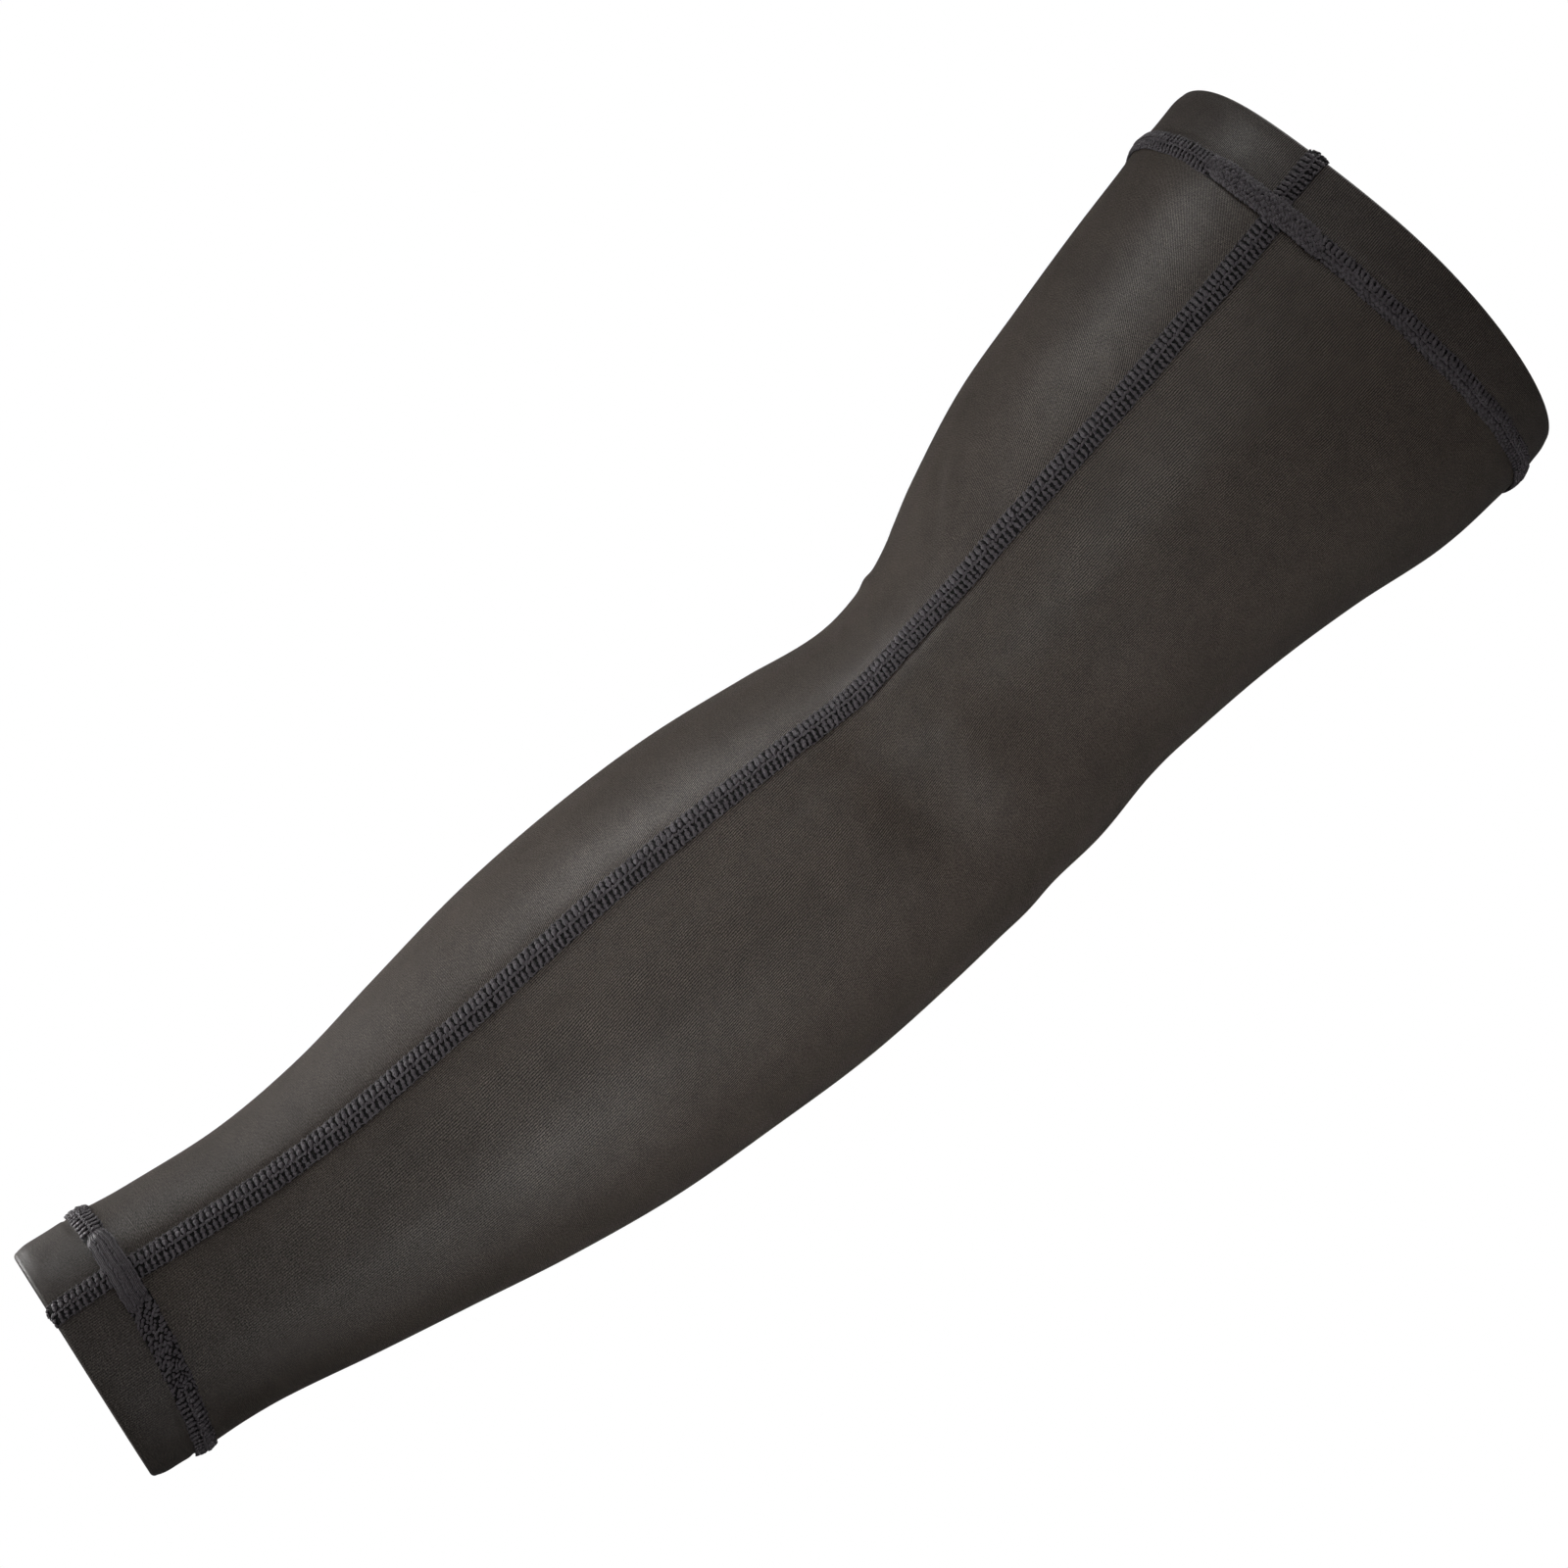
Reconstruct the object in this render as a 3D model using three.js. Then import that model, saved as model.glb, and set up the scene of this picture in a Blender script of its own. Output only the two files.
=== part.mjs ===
import * as THREE from 'three';

// A long compression sleeve for the arm, kept in the form it has when it is worn with the arm
// slightly bent. Lengths are in millimetres and angles in degrees.
//
// Frame: the origin is the centre of the upper opening and +Z runs up the upper arm, out of the
// sleeve. The arm bends towards -X, so the crook of the elbow is on -X and its point on +X. The
// long seam lies on the -Y side.
//
// Every piece follows one surface, the outer face of the fabric. A place on it is given by its
// distance along the sleeve, from the upper opening down the bent centreline, and by its angle
// round the sleeve: 0 at the crook, 90 on the -Y side and 180 at the point of the elbow.

// Driving dimensions of the form
const SLEEVE_LENGTH = 413.5;
const ELBOW_DISTANCE = 157.5;
const ELBOW_BEND = 13.7;
const ELBOW_RADIUS = 250;
const UPPER_WIDTH = 125;
const ELBOW_WIDTH = 83.5;
const FOREARM_WIDTH = 94;
const WRIST_WIDTH = 62.5;

// Driving dimensions of the fabric, the hems and the seams
const FABRIC_WALL = 1.2;
const HEM_WALL = 2.3;
const UPPER_BAND_HEIGHT = 15.1;
const WRIST_BAND_HEIGHT = 15.9;
const SEAM_WIDTH = 6.4;
const SEAM_HEIGHT = 0.9;
const SEAM_CREST = 1.6;
const BAND_SEAM_WIDTH = 5.6;
const BAND_SEAM_HEIGHT = 0.9;
const HEM_SEAM_WIDTH = 5.6;
const HEM_SEAM_HEIGHT = 0.8;
const HEM_SWELL = 0.4;
const HEM_SWELL_REACH = 5;
const CREST_REACH = 9;
const CLEARANCE = 0.3;

// How far an opening or a hem seam leans from front to back, how far the middle of a hem seam is
// drawn towards the elbow on the two sides, and how far the upper rim is drawn in at its seam
const UPPER_RIM_LEAN = 3.2;
const UPPER_RIM_DIP = 1.6;
const UPPER_SEAM_LEAN = 0.6;
const UPPER_SEAM_BOW = 3.8;
const WRIST_RIM_LEAN = 1.7;
const WRIST_SEAM_LEAN = 3.5;
const WRIST_SEAM_BOW = 2.5;

// How finely the faces are divided
const ROUND_STEPS = 40;
const LENGTH_STEPS = 46;
const BAND_STEPS = 4;
const RIM_STEPS = 6;

// Sections across the sleeve. at is a share of the sleeve's length; front, back and side tell how
// far the fabric reaches to the crook, to the point of the elbow and to each side, as shares of
// the width named beside them.
const SECTIONS = [
  { at: 0.00, width: UPPER_WIDTH, front: 0.493, back: 0.505, side: 0.385 },
  { at: 0.05, width: UPPER_WIDTH, front: 0.485, back: 0.500, side: 0.387 },
  { at: 0.10, width: UPPER_WIDTH, front: 0.476, back: 0.479, side: 0.390 },
  { at: 0.16, width: UPPER_WIDTH, front: 0.460, back: 0.422, side: 0.388 },
  { at: 0.22, width: UPPER_WIDTH, front: 0.440, back: 0.376, side: 0.375 },
  { at: 0.28, width: ELBOW_WIDTH, front: 0.590, back: 0.515, side: 0.530 },
  { at: 0.32, width: ELBOW_WIDTH, front: 0.529, back: 0.494, side: 0.505 },
  { at: 0.36, width: ELBOW_WIDTH, front: 0.490, back: 0.509, side: 0.492 },
  { at: 0.40, width: ELBOW_WIDTH, front: 0.477, back: 0.512, side: 0.492 },
  { at: 0.46, width: FOREARM_WIDTH, front: 0.449, back: 0.494, side: 0.448 },
  { at: 0.53, width: FOREARM_WIDTH, front: 0.468, back: 0.525, side: 0.452 },
  { at: 0.60, width: FOREARM_WIDTH, front: 0.458, back: 0.529, side: 0.446 },
  { at: 0.67, width: FOREARM_WIDTH, front: 0.425, back: 0.524, side: 0.424 },
  { at: 0.74, width: FOREARM_WIDTH, front: 0.366, back: 0.491, side: 0.378 },
  { at: 0.80, width: WRIST_WIDTH, front: 0.470, back: 0.674, side: 0.478 },
  { at: 0.86, width: WRIST_WIDTH, front: 0.434, back: 0.609, side: 0.414 },
  { at: 0.92, width: WRIST_WIDTH, front: 0.455, back: 0.539, side: 0.368 },
  { at: 0.96, width: WRIST_WIDTH, front: 0.480, back: 0.518, side: 0.354 },
  { at: 1.00, width: WRIST_WIDTH, front: 0.500, back: 0.506, side: 0.350 },
];

// Where the long seam runs round the sleeve, and how strongly it tents the fabric up
const SEAM_COURSE = [
  { at: 0.00, angle: 65.5, crest: 0.1 },
  { at: 0.12, angle: 65.0, crest: 0.2 },
  { at: 0.24, angle: 62.5, crest: 0.5 },
  { at: 0.36, angle: 53.5, crest: 1.0 },
  { at: 0.43, angle: 57.5, crest: 1.0 },
  { at: 0.50, angle: 61.5, crest: 1.0 },
  { at: 0.61, angle: 65.0, crest: 0.8 },
  { at: 0.73, angle: 69.0, crest: 0.5 },
  { at: 0.84, angle: 69.5, crest: 0.2 },
  { at: 0.95, angle: 67.2, crest: 0.1 },
  { at: 1.00, angle: 64.5, crest: 0.1 },
];

// Soft folds of the worn fabric. turn is the way the fold runs, 0 along the sleeve and 90 round
// it; long, wide and high are half its length, half its width and its height, as shares of the
// elbow's width. A dent has a height below zero.
const FOLDS = [
  { name: 'hollow beside the elbow', at: 0.430, angle: 86, turn: 96, long: 0.300, wide: 0.110, high: -0.016 },
  { name: 'swell above the hollow', at: 0.395, angle: 100, turn: 96, long: 0.280, wide: 0.110, high: 0.010 },
  { name: 'crease of the crook', at: 0.292, angle: 28, turn: 32, long: 0.150, wide: 0.040, high: -0.011 },
  { name: 'step of the crook', at: 0.352, angle: 4, turn: 80, long: 0.120, wide: 0.030, high: 0.008 },
  { name: 'first wrinkle', at: 0.361, angle: 30, turn: 62, long: 0.070, wide: 0.020, high: 0.004 },
  { name: 'second wrinkle', at: 0.380, angle: 33, turn: 62, long: 0.100, wide: 0.022, high: 0.005 },
  { name: 'third wrinkle', at: 0.402, angle: 28, turn: 58, long: 0.090, wide: 0.024, high: 0.004 },
  { name: 'point of the elbow', at: 0.412, angle: 172, turn: 90, long: 0.220, wide: 0.080, high: 0.008 },
];

// Short stitched-over stretch where each hem seam's start and end overlap: angle is its middle,
// spread half its reach in degrees, and wider and higher are the shares by which the seam grows.
const UPPER_OVERLAP = { angle: 78, spread: 13, wider: 0.16, higher: 0.35 };
const WRIST_OVERLAP = { angle: 88, spread: 22, wider: 0.16, higher: 0.35 };

// The band seams lie a little beside the long seam
const UPPER_BAND_SEAM_ANGLE = 63.8;
const WRIST_BAND_SEAM_ANGLE = 64.8;
const UPPER_RIM_DIP_SPREAD = 30;

const RADIANS = Math.PI / 180;

// A column of a table at a share of the sleeve's length, smoothly from row to row.
function smoothColumn(rows, column, at) {
  let i = 0;
  while (i < rows.length - 2 && at > rows[i + 1].at) i += 1;
  const slope = (a, b) => (column(rows[b]) - column(rows[a])) / (rows[b].at - rows[a].at);
  const last = rows.length - 1;
  const bendAt = (k) => slope(Math.max(k - 1, 0), Math.min(k + 1, last));
  const step = rows[i + 1].at - rows[i].at;
  const t = THREE.MathUtils.clamp((at - rows[i].at) / step, -0.5, 1.5);
  const [a, b] = [column(rows[i]), column(rows[i + 1])];
  const [u, v] = [bendAt(i) * step, bendAt(i + 1) * step];
  return a + t * (u + t * (3 * (b - a) - 2 * u - v + t * (2 * (a - b) + u + v)));
}

// The bent centreline: a straight upper arm, an arc at the elbow and a straight forearm.
function centreAt(distance) {
  const bend = ELBOW_BEND * RADIANS;
  const straight = ELBOW_DISTANCE - ELBOW_RADIUS * Math.tan(bend / 2);
  const turned = THREE.MathUtils.clamp((distance - straight) / ELBOW_RADIUS, 0, bend);
  const below = Math.max(0, distance - straight - ELBOW_RADIUS * bend);
  const point = new THREE.Vector3(
    -ELBOW_RADIUS * (1 - Math.cos(turned)) - below * Math.sin(turned),
    0,
    -Math.min(distance, straight) - ELBOW_RADIUS * Math.sin(turned) - below * Math.cos(turned),
  );
  return { point, back: new THREE.Vector3(Math.cos(turned), 0, -Math.sin(turned)) };
}

function reachAt(distance) {
  const at = distance / SLEEVE_LENGTH;
  const reach = (name) => smoothColumn(SECTIONS, (row) => row[name] * row.width, at);
  return { front: reach('front'), back: reach('back'), side: reach('side') };
}

function seamAngleAt(distance) {
  return smoothColumn(SEAM_COURSE, (row) => row.angle, distance / SLEEVE_LENGTH);
}

// Shortest way round from one angle to another.
function turnBetween(from, to) {
  return THREE.MathUtils.euclideanModulo(to - from + 180, 360) - 180;
}

// Height of the folds, of the seam's crest and of the swell at the hems above the plain section.
function foldHeight(distance, angle, girth) {
  let height = 0;
  for (const fold of FOLDS) {
    const along = distance - fold.at * SLEEVE_LENGTH;
    const round = turnBetween(fold.angle, angle) / 360 * girth;
    const [c, s] = [Math.cos(fold.turn * RADIANS), Math.sin(fold.turn * RADIANS)];
    const u = (along * c + round * s) / (fold.long * ELBOW_WIDTH);
    const v = (round * c - along * s) / (fold.wide * ELBOW_WIDTH);
    height += fold.high * ELBOW_WIDTH * Math.exp(-u * u - v * v);
  }
  const crest = smoothColumn(SEAM_COURSE, (row) => row.crest, distance / SLEEVE_LENGTH);
  const off = turnBetween(seamAngleAt(distance), angle) / 360 * girth;
  height += SEAM_CREST * crest * Math.exp(-Math.hypot(off, SEAM_WIDTH / 2) / CREST_REACH);
  for (const seamAt of [upperSeam, wristSeam]) {
    height += HEM_SWELL * Math.exp(-(((distance - seamAt(angle)) / HEM_SWELL_REACH) ** 2));
  }
  return height;
}

// The outer face of the fabric.
function fabric(distance, angle) {
  const { front, back, side } = reachAt(distance);
  const [c, s] = [Math.cos(angle * RADIANS), Math.sin(angle * RADIANS)];
  const reach = c > 0 ? front : back;
  const girth = Math.PI * ((front + back) / 2 + side);
  const height = foldHeight(distance, angle, girth);
  const outward = new THREE.Vector2(-c / reach, -s / side).normalize();
  const centre = centreAt(distance);
  return centre.point.clone()
    .addScaledVector(centre.back, -c * reach + height * outward.x)
    .add(new THREE.Vector3(0, -s * side + height * outward.y, 0));
}

// A point at a height above the outer face, or below it where the height is negative.
function onFabric(distance, angle, height) {
  const round = fabric(distance, angle + 0.5).sub(fabric(distance, angle - 0.5));
  const along = fabric(distance + 0.5, angle).sub(fabric(distance - 0.5, angle));
  const outward = along.cross(round).normalize();
  return fabric(distance, angle).addScaledVector(outward, height);
}

// Millimetres round the sleeve for each degree, at a place on the fabric.
function roundScale(distance, angle) {
  return fabric(distance, angle + 0.5).distanceTo(fabric(distance, angle - 0.5));
}

// Edges of the sleeve: how far along it each opening and each hem seam lies, at an angle.
const cosine = (angle) => Math.cos(angle * RADIANS);
const sideways = (angle) => Math.sin(angle * RADIANS) ** 2;

function upperRim(angle) {
  const off = turnBetween(UPPER_BAND_SEAM_ANGLE, angle) / UPPER_RIM_DIP_SPREAD;
  return UPPER_RIM_DIP * Math.exp(-off * off) - UPPER_RIM_LEAN * cosine(angle);
}

function upperSeam(angle) {
  return UPPER_BAND_HEIGHT - UPPER_SEAM_LEAN * cosine(angle) + UPPER_SEAM_BOW * sideways(angle);
}

function wristRim(angle) {
  return SLEEVE_LENGTH - WRIST_RIM_LEAN * cosine(angle);
}

function wristSeam(angle) {
  const middle = SLEEVE_LENGTH - WRIST_BAND_HEIGHT;
  return middle - WRIST_SEAM_LEAN * cosine(angle) - WRIST_SEAM_BOW * sideways(angle);
}

// Swept solids. loops[i] is the outline of one section; the sections join into a ring or are
// closed by a flat cap at each end.
function sweptGeometry(loops, isRing) {
  const count = loops[0].length;
  const positions = loops.flat().flatMap((point) => point.toArray());
  const faces = [];
  const links = isRing ? loops.length : loops.length - 1;
  for (let i = 0; i < links; i += 1) {
    const next = (i + 1) % loops.length;
    for (let j = 0; j < count; j += 1) {
      const k = (j + 1) % count;
      const [a, b] = [i * count + j, next * count + j];
      const [c, d] = [next * count + k, i * count + k];
      faces.push(a, b, c, a, c, d);
    }
  }
  if (!isRing) {
    const end = (loops.length - 1) * count;
    for (let j = 1; j < count - 1; j += 1) {
      faces.push(0, j, j + 1);
      faces.push(end, end + j + 1, end + j);
    }
  }
  const geometry = new THREE.BufferGeometry();
  geometry.setAttribute('position', new THREE.Float32BufferAttribute(positions, 3));
  geometry.setIndex(volumeOf(positions, faces) > 0 ? faces : faces.reverse());
  geometry.computeVertexNormals();
  return geometry;
}

// Six times the volume that the faces enclose, below zero where they point inward.
function volumeOf(positions, faces) {
  const point = (index) => new THREE.Vector3().fromArray(positions, 3 * index);
  let volume = 0;
  for (let i = 0; i < faces.length; i += 3) {
    volume += point(faces[i]).dot(point(faces[i + 1]).cross(point(faces[i + 2])));
  }
  return volume;
}

function ringGeometry(outline) {
  const loops = [];
  for (let i = 0; i < ROUND_STEPS; i += 1) loops.push(outline(360 * i / ROUND_STEPS));
  return sweptGeometry(loops, true);
}

// Shares of the way from one hem seam to the other, closer together at the elbow.
function bodyShares() {
  const elbow = 0.4;
  const gather = 0.1;
  const shares = [];
  for (let i = 0; i <= LENGTH_STEPS; i += 1) {
    const t = i / LENGTH_STEPS;
    shares.push(t - gather * Math.sin(2 * Math.PI * (t - elbow)) - gather * Math.sin(2 * Math.PI * elbow));
  }
  const [first, last] = [shares[0], shares[LENGTH_STEPS]];
  return shares.map((share) => (share - first) / (last - first));
}

// The knitted tube between the two hem seams.
function bodyGeometry() {
  const shares = bodyShares();
  return ringGeometry((angle) => {
    const from = upperSeam(angle) + CLEARANCE / 2;
    const to = wristSeam(angle) - CLEARANCE / 2;
    const face = (height) => shares.map((share) => onFabric(from + share * (to - from), angle, height));
    return [...face(0), ...face(-FABRIC_WALL).reverse()];
  });
}

// Course of a hem's outer face from its seam to its rim and over the rim's fold to the inside.
// Each step has its distance, its height and the way it faces; side is -1 at the upper opening
// and 1 at the wrist.
function hemCourse(angle, seamAt, rimAt, side, foldAngle) {
  const radius = HEM_WALL / 2;
  const from = seamAt(angle) + side * CLEARANCE / 2;
  const to = rimAt(angle) - side * radius;
  const course = [];
  for (let i = 0; i < BAND_STEPS; i += 1) {
    course.push({ distance: from + (to - from) * i / BAND_STEPS, height: 0, along: 0, out: 1 });
  }
  for (let i = 0; i <= RIM_STEPS; i += 1) {
    const turn = foldAngle * RADIANS * i / RIM_STEPS;
    const [along, out] = [side * Math.sin(turn), Math.cos(turn)];
    course.push({ distance: to + radius * along, height: radius * (out - 1), along, out });
  }
  return course;
}

// A folded hem band with a rounded rim.
function bandGeometry(seamAt, rimAt, side) {
  return ringGeometry((angle) => {
    const outer = hemCourse(angle, seamAt, rimAt, side, 180);
    const start = outer[0].distance;
    const end = outer[outer.length - 1].distance;
    const points = outer.map((step) => onFabric(step.distance, angle, step.height));
    for (let i = 1; i <= BAND_STEPS; i += 1) {
      points.push(onFabric(end + (start - end) * i / BAND_STEPS, angle, -HEM_WALL));
    }
    return points;
  });
}

// Outline of a flat seam: across is a share of its half width and up a share of its height.
const SEAM_OUTLINE = [
  { across: -1, up: 0 },
  { across: -0.9, up: 0.7 },
  { across: -0.45, up: 1 },
  { across: 0.45, up: 1 },
  { across: 0.9, up: 0.7 },
  { across: 1, up: 0 },
  { across: 0, up: 0 },
];

// Half width and height of a hem seam, more where its start and end overlap.
function hemSeamSize(angle, overlap) {
  const near = Math.exp(-((turnBetween(overlap.angle, angle) / overlap.spread) ** 4));
  return {
    halfWidth: HEM_SEAM_WIDTH / 2 * (1 + overlap.wider * near),
    height: HEM_SEAM_HEIGHT * (1 + overlap.higher * near),
  };
}

// A raised seam ring over the edge of a hem.
function hemSeamGeometry(seamAt, overlap) {
  return ringGeometry((angle) => {
    const { halfWidth, height } = hemSeamSize(angle, overlap);
    return SEAM_OUTLINE.map((corner) => onFabric(
      seamAt(angle) + corner.across * halfWidth, angle, CLEARANCE + corner.up * height,
    ));
  });
}

// How far from a hem seam's middle another seam ends.
function hemSeamEdge(angle, overlap) {
  return hemSeamSize(angle, overlap).halfWidth + CLEARANCE;
}

// The flat seam along the tube, from one hem seam to the other.
function longSeamGeometry() {
  const loops = [];
  for (let i = 0; i <= LENGTH_STEPS; i += 1) {
    const share = i / LENGTH_STEPS;
    loops.push(SEAM_OUTLINE.map((corner) => {
      const spread = (distance) => {
        const middle = seamAngleAt(distance);
        return middle + corner.across * SEAM_WIDTH / 2 / roundScale(distance, middle);
      };
      const [first, last] = [spread(UPPER_BAND_HEIGHT), spread(SLEEVE_LENGTH - WRIST_BAND_HEIGHT)];
      const from = upperSeam(first) + hemSeamEdge(first, UPPER_OVERLAP);
      const to = wristSeam(last) - hemSeamEdge(last, WRIST_OVERLAP);
      const distance = from + share * (to - from);
      return onFabric(distance, spread(distance), CLEARANCE + corner.up * SEAM_HEIGHT);
    }));
  }
  return sweptGeometry(loops, false);
}

// A short seam across a band, from the hem seam over the rim's fold.
function bandSeamGeometry(middle, seamAt, rimAt, side, overlap) {
  const foldAngle = 110;
  const steps = hemCourse(middle, seamAt, rimAt, side, foldAngle).length;
  const loops = [];
  for (let i = 0; i < steps; i += 1) {
    loops.push(SEAM_OUTLINE.map((corner) => {
      const halfWidth = corner.across * BAND_SEAM_WIDTH / 2;
      const angle = middle + halfWidth / roundScale(rimAt(middle), middle);
      const seamEdge = (turn) => seamAt(turn) + side * hemSeamEdge(turn, overlap);
      const step = hemCourse(angle, seamEdge, rimAt, side, foldAngle)[i];
      const rise = CLEARANCE + corner.up * BAND_SEAM_HEIGHT;
      return onFabric(step.distance + step.along * rise, angle, step.height + step.out * rise);
    }));
  }
  return sweptGeometry(loops, false);
}

// Materials: a dark charcoal knit, the same cloth folded at the hems, and a greyer stitching
function clothMaterial(colour, roughness) {
  return new THREE.MeshStandardMaterial({ color: colour, roughness, metalness: 0 });
}

const KNIT = 0x3a3835;
const HEM_KNIT = 0x403f3e;
const STITCHING = 0x57545a;

const sleeve = new THREE.Group();

function addPiece(name, geometry, colour, roughness) {
  const piece = new THREE.Mesh(geometry, clothMaterial(colour, roughness));
  piece.name = name;
  sleeve.add(piece);
}

addPiece('sleeve_body', bodyGeometry(), KNIT, 0.85);
addPiece('upper_band', bandGeometry(upperSeam, upperRim, -1), HEM_KNIT, 0.85);
addPiece('wrist_band', bandGeometry(wristSeam, wristRim, 1), HEM_KNIT, 0.85);
addPiece('long_seam', longSeamGeometry(), STITCHING, 0.7);
addPiece('upper_hem_seam', hemSeamGeometry(upperSeam, UPPER_OVERLAP), STITCHING, 0.7);
addPiece('wrist_hem_seam', hemSeamGeometry(wristSeam, WRIST_OVERLAP), STITCHING, 0.7);
addPiece(
  'upper_band_seam',
  bandSeamGeometry(UPPER_BAND_SEAM_ANGLE, upperSeam, upperRim, -1, UPPER_OVERLAP),
  STITCHING,
  0.7,
);
addPiece(
  'wrist_band_seam',
  bandSeamGeometry(WRIST_BAND_SEAM_ANGLE, wristSeam, wristRim, 1, WRIST_OVERLAP),
  STITCHING,
  0.7,
);

export default sleeve;
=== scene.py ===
# %% [markdown]
# # A knitted arm sleeve
#
# This lesson dresses the CAD model of a long compression sleeve. The real sleeve is one tube of
# thin rib knit. A flat seam closes it along its length, and a folded hem, held down by a raised
# ring of stitches, finishes each end. It keeps the form that it has on a slightly bent arm.
#
# The CAD model is the fixed frame: it gives the place and the size of every piece. Here each piece
# gets its knit, its seams and its threads. Lengths are in metres throughout.

# %% Load the fixed frame
import math
from collections import namedtuple

import bpy
import numpy as np
from mathutils import Matrix, Vector


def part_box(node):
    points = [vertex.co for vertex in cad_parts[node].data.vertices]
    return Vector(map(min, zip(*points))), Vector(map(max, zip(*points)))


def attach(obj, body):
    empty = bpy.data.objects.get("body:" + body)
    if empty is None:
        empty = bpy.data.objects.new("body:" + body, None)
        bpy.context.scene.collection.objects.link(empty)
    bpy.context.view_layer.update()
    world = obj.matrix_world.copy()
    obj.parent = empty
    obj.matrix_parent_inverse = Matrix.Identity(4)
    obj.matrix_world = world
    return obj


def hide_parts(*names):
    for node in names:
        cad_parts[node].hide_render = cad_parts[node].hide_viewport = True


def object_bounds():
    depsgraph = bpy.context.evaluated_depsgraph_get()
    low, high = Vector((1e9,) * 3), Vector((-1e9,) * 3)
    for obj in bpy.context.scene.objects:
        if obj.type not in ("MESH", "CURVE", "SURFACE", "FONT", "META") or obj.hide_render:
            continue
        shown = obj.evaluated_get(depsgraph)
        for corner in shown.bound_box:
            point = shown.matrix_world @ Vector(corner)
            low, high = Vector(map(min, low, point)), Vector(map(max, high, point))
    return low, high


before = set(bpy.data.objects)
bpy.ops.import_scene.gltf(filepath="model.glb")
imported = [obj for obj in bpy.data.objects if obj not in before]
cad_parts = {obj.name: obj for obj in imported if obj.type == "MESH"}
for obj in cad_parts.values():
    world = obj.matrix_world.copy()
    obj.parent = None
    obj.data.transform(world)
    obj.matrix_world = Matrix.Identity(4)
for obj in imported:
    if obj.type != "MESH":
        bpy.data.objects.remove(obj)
cad_low, cad_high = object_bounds()
print("CAD box:", [round(v, 4) for v in (*cad_low, *cad_high)])

# %% [markdown]
# ## The camera
#
# The picture shows the sleeve from the side, turned so that the upper opening points to the upper
# right, and from slightly beyond the wrist. A long lens at 1.3 m gives that flat, calm look. The
# camera is set up from three directions: where it looks, what is up in the picture, and what is
# right.

# %% Place the camera
LOOK_TILT = math.radians(10)
CAMERA_DISTANCE = 1.3
PICTURE_WIDTH = 0.3776
target = Vector((-0.0249, 0, -0.193))
sleeve_axis = Vector((0.155, 0, 0.988)).normalized()
look = (math.cos(LOOK_TILT) * Vector((0, 1, 0)) + math.sin(LOOK_TILT) * sleeve_axis).normalized()
picture_right = look.cross(Vector((-0.648, 0, 0.7615))).normalized()
picture_up = picture_right.cross(look)

camera_data = bpy.data.cameras.new("camera")
camera_data.lens = camera_data.sensor_width * CAMERA_DISTANCE / PICTURE_WIDTH
camera = bpy.data.objects.new("camera", camera_data)
bpy.context.collection.objects.link(camera)
camera.matrix_world = Matrix.Translation(target - CAMERA_DISTANCE * look) @ Matrix(
    (picture_right, picture_up, -look)
).transposed().to_4x4()
bpy.context.scene.camera = camera
print("lens:", round(camera_data.lens, 1), "mm")

# %% [markdown]
# ## Studio and light
#
# A plain pale floor lies well below the sleeve. The light is soft and comes mostly from above in
# the picture, stronger at the wrist's end, so that the crook of the elbow is light and the far
# upper corner sinks into the dark. Area lights are used because their size sets how soft the
# shading is. Each light's place is given along the picture's own right, up and towards the camera.

# %% Lay the floor
FLOOR_LEVEL = cad_low[2] - 1.2
FLOOR_RADIUS = 5.0
FLOOR_GLOW = 0.62

floor_mesh = bpy.data.meshes.new("floor")
corners = [(math.cos(a), math.sin(a)) for a in np.linspace(0, 2 * math.pi, 64, endpoint=False)]
floor_mesh.from_pydata(
    [(FLOOR_RADIUS * x, FLOOR_RADIUS * y, FLOOR_LEVEL) for x, y in corners], [], [range(64)]
)
floor = bpy.data.objects.new("floor", floor_mesh)
bpy.context.collection.objects.link(floor)
floor_material = bpy.data.materials.new("pale floor")
floor_material.use_nodes = True
floor_shader = floor_material.node_tree.nodes["Principled BSDF"]
floor_shader.inputs["Base Color"].default_value = (0.86, 0.86, 0.86, 1)
floor_shader.inputs["Roughness"].default_value = 0.9
glow = floor_material.node_tree.nodes.new("ShaderNodeLightPath")
glow_share = floor_material.node_tree.nodes.new("ShaderNodeMath")
glow_share.operation = "MULTIPLY"
glow_share.inputs[1].default_value = FLOOR_GLOW
floor_material.node_tree.links.new(glow.outputs["Is Camera Ray"], glow_share.inputs[0])
floor_material.node_tree.links.new(
    glow_share.outputs[0], floor_shader.inputs["Emission Strength"])
floor_shader.inputs["Emission Color"].default_value = (1, 1, 1, 1)
floor_mesh.materials.append(floor_material)

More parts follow.
